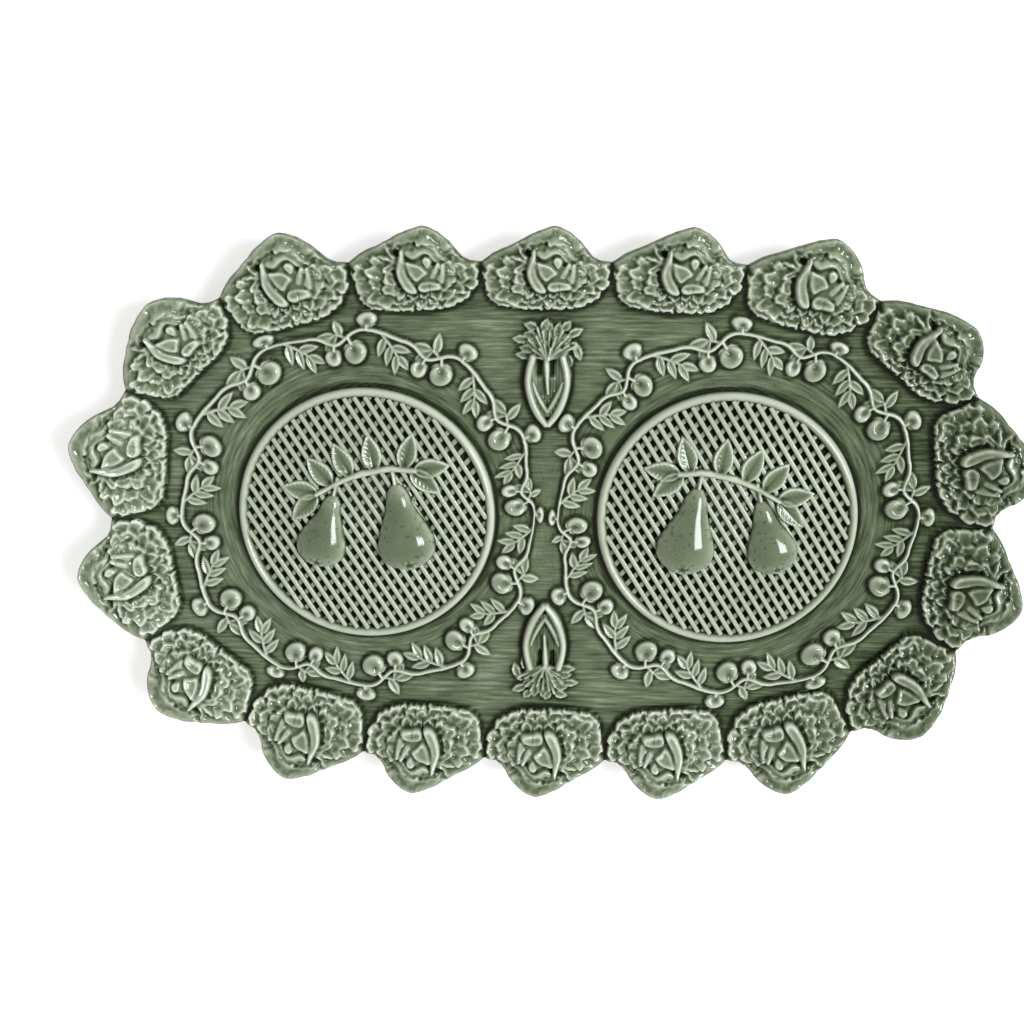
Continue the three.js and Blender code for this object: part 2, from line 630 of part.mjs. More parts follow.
// One half of the well: the left wreath and the far celery, turned half round for the other half
function wreathGroup(label, celeryLabel, turn) {
  const half = new THREE.Group();
  half.rotation.z = turn;
  half.position.z = wellZ + SLIP;
  const wreath = new THREE.Group();
  wreath.position.x = -wreathX;
  for (let sprig = 0; sprig < VINE_SPRIGS; sprig += 1) {
    wreath.add(named(`vine_sprig_${label}_${twoDigits(sprig + 1)}`, sprigGeometry(sprig), glazeRelief));
  }
  const celery = named(`celery_${celeryLabel}`, celeryGeometry(), glazeRelief);
  celery.position.y = celeryY;
  half.add(wreath, celery);
  return half;
}

const platter = new THREE.Group();
platter.add(named("platter_body", bodyGeometry(), glazeGround));
platter.add(named("foot_ring", footGeometry(), bareClay));
for (let head = 0; head < HEAD_COUNT; head += 1) {
  const name = `lettuce_head_${twoDigits(head + 1)}`;
  platter.add(named(name, headGeometry(head * headPitch), glazeLettuce));
}
platter.add(medallionGroup("left", -1), medallionGroup("right", 1));
platter.add(wreathGroup("left", "far", 0), wreathGroup("right", "near", Math.PI));

export default platter;
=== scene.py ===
# %% [markdown]
# # A lettuce leaf platter
#
# The real platter is one piece of fired clay under a green glaze: a dished oval body on a foot ring, a row
# of pressed lettuce heads along the rim, two round basketwork medallions with fruit, a wreath of fruiting
# vine round each medallion and two bunches of celery.
#
# Relief like this comes out of a mould, so nothing on it has an undercut: seen from above, each place has
# one height. That is why most pieces here start as a flat grid whose points are lifted by a height formula,
# and are then cut off flat underneath and closed.

# %% Load the frame
import math

import bpy
import numpy as np
from mathutils import Matrix, Vector
from mathutils.bvhtree import BVHTree


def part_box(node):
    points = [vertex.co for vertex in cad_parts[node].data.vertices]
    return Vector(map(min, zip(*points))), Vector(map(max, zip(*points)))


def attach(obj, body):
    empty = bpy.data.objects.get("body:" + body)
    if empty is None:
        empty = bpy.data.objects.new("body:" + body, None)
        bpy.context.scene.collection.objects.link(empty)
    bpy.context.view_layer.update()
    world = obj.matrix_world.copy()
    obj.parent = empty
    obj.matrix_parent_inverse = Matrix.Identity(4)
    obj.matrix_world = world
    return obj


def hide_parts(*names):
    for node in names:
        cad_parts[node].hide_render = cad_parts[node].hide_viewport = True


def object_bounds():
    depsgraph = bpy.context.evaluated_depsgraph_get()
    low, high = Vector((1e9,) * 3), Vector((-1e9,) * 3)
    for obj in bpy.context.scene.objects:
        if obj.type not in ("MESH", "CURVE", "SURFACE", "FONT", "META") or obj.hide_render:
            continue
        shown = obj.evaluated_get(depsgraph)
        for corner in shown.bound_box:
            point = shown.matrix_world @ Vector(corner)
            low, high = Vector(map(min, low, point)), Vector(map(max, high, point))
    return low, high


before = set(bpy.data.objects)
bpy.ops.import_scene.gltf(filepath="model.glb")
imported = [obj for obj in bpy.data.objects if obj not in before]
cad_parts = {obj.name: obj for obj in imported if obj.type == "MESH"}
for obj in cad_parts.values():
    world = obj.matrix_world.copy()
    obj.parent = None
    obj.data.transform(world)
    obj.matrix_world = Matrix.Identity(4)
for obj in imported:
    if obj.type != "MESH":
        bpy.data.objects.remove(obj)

MM = 0.001
TURN = 2 * math.pi
cad_low, cad_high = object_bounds()
print("CAD box, mm:", [round((high - low) / MM, 1) for low, high in zip(cad_low, cad_high)])

# %% [markdown]
# ## Camera
#
# The photograph looks down on the platter from a little beyond its far side. The camera's place, its turn
# and its lens were found by fitting the circles of the medallions and the middles of the lettuce heads, so
# the render can be laid over the photograph.

# %% Camera
CAMERA_PLACE = (0.0075, 0.1527, 0.5741)
CAMERA_TURN = (-15.02, 2.26, 0.58)  # axis of the turn, as long as its angle in degrees
FOCAL_PIXELS = 1370
IMAGE_PIXELS = 1024
SENSOR_WIDTH = 36.0


def deselect_all():
    """An operator acts on all that is selected, and the frame's nodes come in selected."""
    bpy.ops.object.select_all(action="DESELECT")


deselect_all()
bpy.ops.object.camera_add()
camera = bpy.context.object
camera.name = "photo_camera"
camera.data.sensor_width = SENSOR_WIDTH
camera.data.lens = FOCAL_PIXELS / IMAGE_PIXELS * SENSOR_WIDTH
turn_axis = Vector(CAMERA_TURN)
turn_matrix = Matrix.Rotation(math.radians(turn_axis.length), 4, turn_axis.normalized())
camera.matrix_world = Matrix.Translation(CAMERA_PLACE) @ turn_matrix
bpy.context.scene.camera = camera
print("Lens, mm:", round(camera.data.lens, 2))

# %% [markdown]
# ## The plan
#
# All pieces follow one oval, the heart line, which runs through the middles of the lettuce heads. Its size
# comes from the frame: the foot ring lies a known step inside it. A place on the rim is then given by a
# distance along the heart line and a step out from it, as a potter would mark out a rim.

# %% The heart line
HEAD_COUNT = 18
HEAD_DEPTH = 19.0  # from the heart line in to the well's edge
FOOT_SETBACK = 12.0  # from the well's edge in to the foot
OVAL_POWER = 3  # an ellipse has 2
SLIP = 0.3  # layer that joins pressed-on pieces to the body
LINE_STEPS = 4000


def signed_power(value, power):
    return np.sign(value) * np.abs(value) ** power


foot_high = np.array(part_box("foot_ring")[1]) / MM
bead_low, bead_high = (np.array(corner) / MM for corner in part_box("medallion_bead_right"))
heart_length = foot_high[0] + FOOT_SETBACK + HEAD_DEPTH
heart_width = foot_high[1] + FOOT_SETBACK + HEAD_DEPTH
medallion_x = (bead_low[0] + bead_high[0]) / 2
medallion_radius = (bead_high[0] - bead_low[0]) / 2
well_z = bead_low[2] - SLIP

line_turn = np.linspace(0, TURN, LINE_STEPS + 1)
line_x = -heart_length * signed_power(np.sin(line_turn), 2 / OVAL_POWER)
line_y = heart_width * signed_power(np.cos(line_turn), 2 / OVAL_POWER)
line_distance = np.concatenate([[0], np.cumsum(np.hypot(np.diff(line_x), np.diff(line_y)))])
heart_line = line_distance[-1]
head_pitch = heart_line / HEAD_COUNT
print("Heart line, mm:", round(heart_line, 1), "pitch of the heads:", round(head_pitch, 2))

# %% Places on the rim
COVE_RADIUS = 25.0  # hollow curve between the well and the rim
RIM_SLOPE = math.radians(24)
# The heads were pressed on by hand: how far each one strays outwards and clockwise
STRAY_OUT = [-2.5, -2.0, 1.8, -3.4, 1.2, 1.2, -1.4, 2.4, 0.1,
             -0.4, 0.1, 2.8, -1.9, 2.0, 2.0, -3.1, 2.2, -1.6]
STRAY_ROUND = [0.5, 2.9, 2.5, 2.6, -0.4, 0.4, -1.5, -1.0, 0.4,
               1.3, 2.6, 4.2, 2.9, 2.1, 2.6, 1.1, -0.9, 0.1]
cove_run = COVE_RADIUS * math.sin(RIM_SLOPE)


def stray(along, strays):
    return np.interp(along / head_pitch, np.arange(HEAD_COUNT), strays, period=HEAD_COUNT)


def plan_point(along, out):
    """X and Y of a place a distance along the heart line and a step out from it."""
    on_rim = np.clip((out + HEAD_DEPTH) / HEAD_DEPTH, 0, 1)
    out = out + on_rim * stray(along, STRAY_OUT)
    along = np.mod(along - on_rim**0.5 * stray(along, STRAY_ROUND), heart_line)
    x = np.interp(along, line_distance, line_x)
    y = np.interp(along, line_distance, line_y)
    square_x = signed_power(x / heart_length, OVAL_POWER - 1) / heart_length
    square_y = signed_power(y / heart_width, OVAL_POWER - 1) / heart_width
    length = np.hypot(square_x, square_y)
    return x + out * square_x / length, y + out * square_y / length


def rim_rise(out):
    """Height of the upper face over the well: flat, then a hollow curve, then a straight slope."""
    run = np.clip(out + HEAD_DEPTH, 0, None)
    curved = np.minimum(run, cove_run)
    curve = COVE_RADIUS - np.sqrt(COVE_RADIUS**2 - curved**2)
    return curve + (run - curved) * math.tan(RIM_SLOPE)


def rim_point(along, out, height):
    x, y = plan_point(along, out)
    return np.stack([x, y, well_z + rim_rise(out) + height], axis=-1)


print("Rise of the rim to the heart line, mm:", round(float(rim_rise(0.0)), 2))

# %% [markdown]
# ## Tools for shaping
#
# These helpers are the few moves that every piece shares: read and write the points of a mesh in
# millimetres, enter edit mode on one piece, extrude its open edge and place the new row, and cut a lifted
# grid off flat and close it underneath.


# %% Points of a mesh
def read_points(piece):
    points = np.empty(3 * len(piece.data.vertices))
    piece.data.vertices.foreach_get("co", points)
    return points.reshape(-1, 3) / MM


def write_points(piece, points):
    piece.data.vertices.foreach_set("co", (np.asarray(points, float) * MM).ravel())
    piece.data.update()


def new_grid(name, columns, rows):
    """A grid of 2 by 2, and the places of its points across and along, each from -1 to 1."""
    deselect_all()
    bpy.ops.mesh.primitive_grid_add(x_subdivisions=columns, y_subdivisions=rows, size=2)
    piece = bpy.context.object
    piece.name = name
    piece.data.name = name
    across, along, _ = read_points(piece).T * MM
    return piece, across, along


# %% Edit mode
def pick(piece):
    """Selects one piece alone."""
    deselect_all()
    piece.select_set(True)
    bpy.context.view_layer.objects.active = piece


def begin_edit(piece):
    pick(piece)
    bpy.ops.object.mode_set(mode="EDIT")


def edit_all(piece):
    begin_edit(piece)
    bpy.ops.mesh.select_all(action="SELECT")


def end_edit():
    bpy.ops.object.mode_set(mode="OBJECT")


def face_out():
    """Points every face of the piece in edit mode outwards, and leaves edit mode."""
    bpy.ops.mesh.select_all(action="SELECT")
    bpy.ops.mesh.normals_make_consistent(inside=False)
    end_edit()


# %% Rows, edges and cuts
MERGE_GAP = 0.001  # points as close as this are one


def select_open_edge(piece):
    begin_edit(piece)
    bpy.ops.mesh.select_mode(type="EDGE")
    bpy.ops.mesh.select_all(action="DESELECT")
    bpy.ops.mesh.select_non_manifold(extend=False, use_wire=False, use_multi_face=False,
                                     use_non_contiguous=False, use_verts=False)
    end_edit()


def extrude_row(piece, place):
    """Extrudes the selected edge, and puts its new points where place(points, picked) says."""
    begin_edit(piece)
    bpy.ops.mesh.extrude_region()
    end_edit()
    picked = np.empty(len(piece.data.vertices), bool)
    piece.data.vertices.foreach_get("select", picked)
    points = read_points(piece)
    points[picked] = place(points[picked], picked)
    write_points(piece, points)


def close_edge(piece):
    """Fills the selected edge and points every face outwards."""
    begin_edit(piece)
    bpy.ops.mesh.edge_face_add()
    face_out()


def merge_and_face_out(piece):
    edit_all(piece)
    bpy.ops.mesh.remove_doubles(threshold=MERGE_GAP * MM)
    face_out()


def cut_flat(piece):
    """Cuts away what lies under 0 and closes the piece there."""
    edit_all(piece)
    bpy.ops.mesh.bisect(plane_co=(0, 0, 0), plane_no=(0, 0, 1), clear_inner=True)
    bpy.ops.mesh.fill(use_beauty=False)
    face_out()


# %% Copies and finished pieces
finished = []


def copy_piece(piece, name):
    copy = piece.copy()
    copy.data = piece.data.copy()
    copy.name = name
    copy.data.name = name
    bpy.context.collection.objects.link(copy)
    return copy


def discard(piece):
    pick(piece)
    bpy.ops.object.delete()


def finish_piece(piece, slot, *nodes):
    """Keeps a piece: what it stands for in the frame, and the slot that its finish comes from, which is not
    used.
    """
    pick(piece)
    bpy.ops.object.shade_smooth()
    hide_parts(*nodes)
    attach(piece, "root")
    finished.append(piece)


# %% [markdown]
# ## Heights
#
# A height formula is built from a few simple forms: the distance to a line gives a rounded stem, the
# distance inside an outline gives a petal, and smooth random bumps give creased leaves. The highest form at
# each place wins, as when one clay sprig is pressed on over another.


# %% Smooth steps and random bumps
def fade(low, high, value):
    """0 below low, 1 above high and a smooth rise between them."""
    share = np.clip((value - low) / (high - low), 0, 1)
    return share * share * (3 - 2 * share)


def bell(value, width):
    """1 at 0 and a smooth fall to both sides, to about a third at the given width."""
    return np.exp(-((value / width) ** 2))


def crumple(x, y, size, seed):
    """Smooth random heights from 0 to 1 whose bumps are about the given size."""
    cells = 64
    table = np.random.default_rng(seed).random((cells, cells))
    column = np.floor(x / size).astype(int)
    row = np.floor(y / size).astype(int)
    right = fade(0, 1, x / size - column)
    up = fade(0, 1, y / size - row)
    next_column = (column + 1) % cells
    column = column % cells
    lower = table[row % cells, column] * (1 - right) + table[row % cells, next_column] * right
    row = row + 1
    upper = table[row % cells, column] * (1 - right) + table[row % cells, next_column] * right
    return lower * (1 - up) + upper * up


def bumps(x, y, height, size, seed):
    """Random bumps about 0, of the given height from the lowest to the highest."""
    return height * (crumple(x, y, size, seed) - 0.5)


# %% Lines and outlines
SPAN_STEPS = 6  # straight steps between two points of a smooth line


def smooth_path(points, steps=SPAN_STEPS):
    """A smooth line through points."""
    points = np.asarray(points, float)
    padded = np.vstack([2 * points[0] - points[1], points, 2 * points[-1] - points[-2]])
    share = (np.arange(steps) / steps)[:, None]
    spans = []
    for a, b, c, d in zip(padded[:-3], padded[1:-2], padded[2:-1], padded[3:]):
        bend = 2 * a - 5 * b + 4 * c - d
        twist = 3 * b - a - 3 * c + d
        spans.append((2 * b + (c - a) * share + bend * share**2 + twist * share**3) / 2)
    return np.vstack(spans + [points[-1:]])


def to_path(x, y, path):
    """Distance to a line, how far along it the nearest place lies, from 0 to 1, and the side: 1 is left."""
    lengths = np.hypot(*np.diff(path, axis=0).T)
    nearest = np.full(np.shape(x), np.inf)
    along = np.zeros(np.shape(x))
    left = np.zeros(np.shape(x))
    passed = 0.0
    for start, end, length in zip(path[:-1], path[1:], lengths):
        heading = (end - start) / length
        run = np.clip((x - start[0]) * heading[0] + (y - start[1]) * heading[1], 0, length)
        gap = np.hypot(x - start[0] - run * heading[0], y - start[1] - run * heading[1])
        along = np.where(gap < nearest, passed + run, along)
        turn = heading[0] * (y - start[1]) - heading[1] * (x - start[0])
        left = np.where(gap < nearest, np.sign(turn), left)
        nearest = np.minimum(gap, nearest)
        passed += length
    return nearest, along / passed, left


def inside_distance(x, y, outline):
    """How far a place lies inside a smooth closed outline; below zero outside it."""
    outline = np.asarray(outline, float)
    around = np.vstack([outline[-2:], outline, outline[:3]])
    path = smooth_path(around)[2 * SPAN_STEPS:-2 * SPAN_STEPS]
    gap, _, _ = to_path(x, y, path)
    crossings = np.zeros(np.shape(x), int)
    for (x0, y0), (x1, y1) in zip(path[:-1], path[1:]):
        spans = (y0 > y) != (y1 > y)
        rise = y1 - y0 if y1 != y0 else 1.0
        crossings += spans & (x < x0 + (x1 - x0) * (y - y0) / rise)
    return np.where(crossings % 2 == 1, gap, -gap)


# %% Stems
BELOW = -9.0  # a height that lies under everything
FOOT_FALL = 2.0  # steepness of a form outside its edge


def stem_form(x, y, points, half_widths, base, crown):
    """A rounded stem along a line through points, whose half width runs through the given values."""
    gap, along, _ = to_path(x, y, smooth_path(points))
    half = np.interp(along, np.linspace(0, 1, len(half_widths)), half_widths)
    share = gap / half
    dome = np.sqrt(np.clip(1 - share**2, 0, 1))
    return np.where(share < 1, base + crown * dome, np.maximum(base - FOOT_FALL * (gap - half), BELOW))


def stalk_form(x, y, start, end, half_widths, base, crown):
    """A straight stem between two points."""
    return stem_form(x, y, [start, (start + end) / 2, end], half_widths, base, crown)


# %% [markdown]
# ## Body
#
# The body is thrown or pressed as one dish. It starts as a grid that is drawn out to the oval of the well,
# so that its points are evenly spread and can carry the glaze's light and dark and the painted shade. Its
# open edge is then extruded row by row: up the cove, out to the pointed lip, round it and back underneath,
# where it is closed.

# %% Outline of a head and of the lip behind it
# Millimetres from the heart: X clockwise along the rim, Y outwards
LIP_OUTLINE = np.array([
    (-28.9, 3.4), (-23.8, 7.0), (-16.4, 10.2), (-11.5, 12.7), (-4.9, 16.1), (0.2, 17.9), (2.0, 18.2),
    (4.2, 17.6), (8.2, 15.5), (12.5, 11.8), (15.2, 8.2), (17.4, 5.4), (20.5, 3.9), (24.7, 3.4),
])
APRON_OUTLINE = np.array([
    (24.9, -1.5), (24.2, -6.6), (21.8, -9.4), (20.6, -12.6), (18.2, -15.0), (13.1, -16.9), (7.4, -18.2),
    (2.5, -18.0), (-6.6, -18.4), (-11.5, -18.0), (-16.0, -17.6), (-20.5, -17.0), (-23.8, -14.8),
    (-26.2, -12.0), (-27.0, -9.0), (-27.4, -5.7), (-28.4, -2.0),
])
LIP_MARGIN = 0.15  # bare lip outside a head


def lip_reach(along):
    """How far the lip stands out from the heart line."""
    left_notch = LIP_OUTLINE[0, 0]
    across = np.mod(-along - left_notch, head_pitch) + left_notch
    return np.interp(across, *LIP_OUTLINE.T) + LIP_MARGIN


lip_steps = LIP_OUTLINE[:, 1] + LIP_MARGIN
print("Lip outside the heart line, mm:", round(lip_steps.min(), 2), "to", round(lip_steps.max(), 2))


# %% A square drawn out to a closed outline
def square_to_round(across, along, columns, rows):
    """Share of the way from the middle to the edge, and the edge's place round the square, from 0 to 1.

    The place runs counter-clockwise from the middle of the far side.
    """
    share = np.maximum(np.abs(across), np.abs(along))
    safe = np.where(share > 0, share, 1)
    edge_x = across / safe * columns
    edge_y = along / safe * rows
    on_far = np.abs(along) >= np.abs(across)
    far = np.where(along > 0, -edge_x, 2 * columns + 2 * rows + edge_x)
    sides = np.where(across < 0, columns + rows - edge_y, 3 * columns + 3 * rows + edge_y)
    place = np.where(on_far, far, sides) / (4 * (columns + rows))
    return share, np.mod(place, 1)


# %% Body
WELL_COLUMNS = 400
WELL_ROWS = 194
FLOOR_THICKNESS = 6.0
LIP_THICKNESS = 4.0
RIM_ROWS = (-17.5, -15.5, -13.5, -11.0, -8.8, -3.0, 1.0)  # steps out from the heart line
# Steps in from the lip's edge, and depths under the upper face
LIP_ROWS = ((1.2, 0), (0.3, 0.3), (0, 1.1), (0, 2.9), (0.3, 3.7), (1.2, LIP_THICKNESS))
UNDER_ROWS = (1.0, -8.8, -HEAD_DEPTH)  # steps out, on the underside

body, across, along = new_grid("body_glazed", WELL_COLUMNS, WELL_ROWS)
well_share, well_place = square_to_round(across, along, WELL_COLUMNS, WELL_ROWS)
edge_x, edge_y = plan_point(well_place * heart_line, -HEAD_DEPTH)
well_level = np.full(len(edge_x), well_z)
write_points(body, np.stack([well_share * edge_x, well_share * edge_y, well_level], axis=-1))
station = body.data.attributes.new("station", "FLOAT", "POINT")
station.data.foreach_set("value", well_place * heart_line)


def body_row(out_at, sink):
    """A row of the rim, as a rule for extrude_row: the step out at each station, and the depth below."""
    def place(points, picked):
        values = np.empty(len(picked))
        body.data.attributes["station"].data.foreach_get("value", values)
        stations = values[picked]
        return rim_point(stations, out_at(stations), -sink)
    return place


def level_row(out):
    return lambda stations: np.full(len(stations), out)


def lip_row(step_in):
    return lambda stations: lip_reach(stations) - step_in


select_open_edge(body)
for out in RIM_ROWS:
    extrude_row(body, body_row(level_row(out), 0))
for step_in, sink in LIP_ROWS:
    extrude_row(body, body_row(lip_row(step_in), sink))
for out in UNDER_ROWS:
    extrude_row(body, body_row(level_row(out), FLOOR_THICKNESS))
close_edge(body)
body.data.attributes.remove(body.data.attributes["station"])
finish_piece(body, "glaze_ground", "platter_body")
print("Body:", len(body.data.polygons), "faces")

# %% [markdown]
# ## Foot ring
#
# The foot is a low ring under the well, left bare where it stands in the kiln. A grid is wrapped once
# round the oval and once round the foot's rounded section, and its seams are merged.

# %% Foot ring
FOOT_WIDTH = 6.0
FOOT_STATIONS = 432
FOOT_SECTION = 24
FOOT_ROUNDNESS = 0.4  # 1 is an oval section, 0 a square one

foot, across, along = new_grid("foot_ring_clay", FOOT_STATIONS, FOOT_SECTION)
section_turn = along * math.pi
foot_top = well_z - FLOOR_THICKNESS + SLIP
foot_middle = -HEAD_DEPTH - FOOT_SETBACK - FOOT_WIDTH / 2
foot_out = foot_middle + FOOT_WIDTH / 2 * signed_power(np.cos(section_turn), FOOT_ROUNDNESS)
foot_x, foot_y = plan_point((across + 1) / 2 * heart_line, foot_out)
foot_z = foot_top / 2 * (1 + signed_power(np.sin(section_turn), FOOT_ROUNDNESS))
write_points(foot, np.stack([foot_x, foot_y, foot_z], axis=-1))
merge_and_face_out(foot)
finish_piece(foot, "bare_clay", "foot_ring")
print("Foot ring:", len(foot.data.polygons), "faces")

# %% [markdown]
# ## Lettuce heads
#
# Each head is a rosette seen from above: an outer leaf that runs out to the lip's point, crumpled leaves
# towards the well and a heart of thick petals. A modeller would lay down the mass first, press rings of
# lobed leaves over it, each standing over the ring outside it, and then sharpen a few curled edges with a
# tool. The head is made the same way, flat, as a height over the rim, and is then bent onto the rim
# eighteen times.

# %% Mass of a head
MASS_SHARE = [0.0, 0.3, 0.42, 0.6, 0.8, 0.93, 1.0]  # of the way from the heart to the edge
MASS_HEIGHT = [7.2, 6.7, 5.7, 4.4, 3.2, 2.4, 1.4]
EDGE_ROLL, EDGE_ROLL_SHARE = 1.2, (0.965, 1.0)  # the rosette rolls down at its very edge
# The outer leaf fades in over these distances: out from the heart, along the rim, and out on the rosette
OUTER_LEAF_Y = (2.0, 7.0)
OUTER_LEAF_LEFT, OUTER_LEAF_RIGHT = (-20.0, -14.0), (12.0, 17.0)
OUTER_LEAF_SHARE = (0.6, 0.8)
OUTER_LEAF_HEIGHT = 2.2
OUTER_LEAF_BUMPS = {"height": 0.5, "size": 2.4, "seed": 8}


def head_outline(angle):
    outline = np.vstack([LIP_OUTLINE, APRON_OUTLINE])
    angles = np.mod(np.arctan2(outline[:, 1], outline[:, 0]), TURN)
    return np.interp(angle, angles, np.hypot(*outline.T), period=TURN)


def mass_profile(x, y):
    """A low rosette, the share of the way from its heart to its edge, and where the outer leaf lies."""
    angle = np.mod(np.arctan2(y, x), TURN)
    share = np.hypot(x, y) / head_outline(angle)
    lip_side = fade(*OUTER_LEAF_Y, y) * fade(*OUTER_LEAF_LEFT, x) * (1 - fade(*OUTER_LEAF_RIGHT, x))
    outer_leaf = OUTER_LEAF_HEIGHT + bumps(x, y, **OUTER_LEAF_BUMPS)
    mass = np.interp(share, MASS_SHARE, MASS_HEIGHT)
    mass = mass + lip_side * fade(*OUTER_LEAF_SHARE, share) * (outer_leaf - mass)
    return mass - EDGE_ROLL * fade(*EDGE_ROLL_SHARE, share), share, lip_side


edge_height = round(MASS_HEIGHT[-1] - EDGE_ROLL, 1)
print("Rosette, mm high:", MASS_HEIGHT[0], "at the heart,", edge_height, "at the edge")

# %% Rings of lobed leaves
# Middle and radius of each lobe, ring by ring from the edge to the heart
LOBE_RINGS = [
    [(21.4, -0.8, 2.9), (21.0, -5.6, 2.8), (17.8, -11.4, 3.0), (12.4, -13.4, 3.3), (8.4, -15.6, 2.0),
     (3.6, -14.4, 3.3), (-0.4, -15.8, 1.8), (-5.4, -14.8, 3.4), (-10.8, -15.6, 2.4), (-14.2, -15.8, 1.7),
     (-17.2, -15.0, 2.6), (-20.8, -14.4, 2.2), (-23.6, -11.4, 2.2), (-24.4, -6.6, 2.8), (-24.6, -1.4, 3.4)],
    [(16.8, 0.8, 2.2), (17.4, -3.6, 2.6), (15.6, -8.6, 2.8), (10.8, -10.6, 3.0), (5.4, -12.2, 3.0),
     (0.6, -12.8, 2.8), (-5.0, -12.4, 2.8), (-9.6, -12.6, 2.8), (-14.6, -12.6, 3.2), (-19.4, -11.0, 3.0),
     (-18.8, -5.6, 2.6), (-18.2, -0.6, 3.0), (-17.6, 3.2, 2.4)],
    [(12.2, 1.6, 2.0), (12.6, -2.6, 2.2), (10.6, -6.8, 2.4), (6.6, -10.0, 2.4), (1.6, -10.2, 2.4),
     (-3.6, -10.4, 2.2), (-8.6, -10.2, 2.4), (-12.8, -7.8, 2.6), (-12.2, -3.4, 2.4), (-12.6, 0.8, 2.2)],
]
LOBE_SPREAD = 1.1  # the lobes of a ring run into one another
LOBE_LIFT = 0.3  # a lobe stands this far above the rosette at its middle
LOBE_TILT = 0.35  # and rises outwards against the slope of the rosette
# Distances from here on are shares of a lobe's radius
LOBE_CURL, CURL_PLACE, CURL_WIDTH = 0.6, 0.8, 0.25  # rise of its curled edge
LOBE_CUP, CUP_WIDTH = 0.4, 0.5  # depth of its pressed middle
LOBE_VALLEY, VALLEY_WIDTH = 0.5, 0.2  # depth of the crease between two lobes of a ring
LOBE_DROP, DROP_PLACE = 12.0, (0.85, 2.0)  # fall beyond its edge


def ring_height(x, y, mass, ring):
    """One ring of leaves; its frilled free edge stands over the ring outside it."""
    nearest = np.full(np.shape(x), np.inf)
    second = np.full(np.shape(x), np.inf)
    level = np.zeros(np.shape(x))
    for middle_x, middle_y, radius in ring:
        share = np.hypot(x - middle_x, y - middle_y) / (radius * LOBE_SPREAD)
        second = np.minimum(second, np.maximum(nearest, share))
        lobe_level, _, _ = mass_profile(np.array(middle_x), np.array(middle_y))
        level = np.where(share < nearest, lobe_level, level)
        nearest = np.minimum(nearest, share)
    curl = LOBE_CURL * bell(nearest - CURL_PLACE, CURL_WIDTH)
    cup = LOBE_CUP * bell(nearest, CUP_WIDTH)
    valley = LOBE_VALLEY * bell(second - nearest, VALLEY_WIDTH)
    top = level + LOBE_LIFT + LOBE_TILT * (level - mass)
    return top + curl - cup - valley - LOBE_DROP * fade(*DROP_PLACE, nearest)


print("Lobes in the rings:", [len(ring) for ring in LOBE_RINGS])

# %% Curled edges and hollows of the leaves
# Side where the leaf lies (1 left of the line, -1 right, 0 both), half width, height and points of each edge
LEAF_EDGES = [
    (1, 0.8, 1.5, [(-8.6, 10.2), (-5.2, 11.4), (-3.2, 12.0), (-1.4, 12.1), (0.4, 11.5), (2.2, 11.8),
                   (4.0, 10.8), (7.4, 7.2), (10.4, 2.6)]),
    (1, 0.9, 1.3, [(-5.8, 7.8), (-4.4, 6.6), (-2.6, 5.9), (-0.8, 6.6), (0.8, 7.5), (2.6, 7.9), (4.2, 7.4),
                   (6.6, 4.6)]),
    (1, 0.6, 1.3, [(6.4, 9.4), (8.4, 8.8), (10.4, 9.1), (12.6, 8.8)]),
    (1, 0.8, 1.1, [(9.6, 7.4), (11.4, 6.8), (13.4, 6.6), (15.0, 5.0)]),
    (1, 0.5, 1.2, [(8.8, 6.6), (10.6, 4.4), (11.8, 2.2), (12.2, 0.2)]),
    (1, 0.5, 1.4, [(12.4, 4.2), (13.8, 2.4), (13.8, 0.4)]),
    (1, 0.7, 1.3, [(14.8, 2.6), (16.0, 0.6), (16.5, -1.8)]),
    (1, 0.5, 1.1, [(17.6, 1.8), (17.8, -0.6)]),
    (0, 0.6, 2.0, [(-12.8, 9.2), (-11.6, 7.4), (-10.4, 5.6), (-10.0, 3.9), (-11.0, 3.1), (-12.4, 4.4),
                   (-13.8, 5.7), (-15.4, 6.2)]),
]
# Half width, depth and points of each hollow
LEAF_HOLLOWS = [
    (0.9, 1.3, [(-12.4, 10.2), (-9.0, 11.4), (-5.4, 12.5), (-2.2, 13.0), (0.4, 13.2)]),
    (0.7, 1.5, [(8.4, 7.5), (10.6, 5.6), (12.6, 4.4), (14.8, 3.5)]),
    (1.0, 1.4, [(-4.4, 9.2), (-3.4, 9.3)]),
    (0.9, 1.2, [(0.6, 9.4), (1.6, 9.2)]),
    (0.9, 1.8, [(-8.8, 8.6), (-8.8, 6.2), (-9.4, 3.6)]),
    (0.7, 1.4, [(-9.9, -1.0), (-9.8, -4.0), (-8.8, -6.6), (-7.2, -8.8)]),
    (0.8, 1.6, [(14.2, -1.6), (14.0, -2.8)]),
]
EDGE_STEPS = 4  # straight steps between two points of an edge or hollow
EDGE_SOFTNESS = 1.3  # how far the edges are worn by glaze
# Distances from here on are counted in half widths of the edge
LEAF_SLOPE, FREE_SLOPE, OPEN_SLOPE = 2.8, 1.5, 0.6  # run down to the leaf, of a free fold, on the open side
CREASE_PLACE, CREASE_WIDTH = 1.3, 0.6  # crease on the open side
CREASE_SHARE = 0.6  # its depth as a share of the edge's height


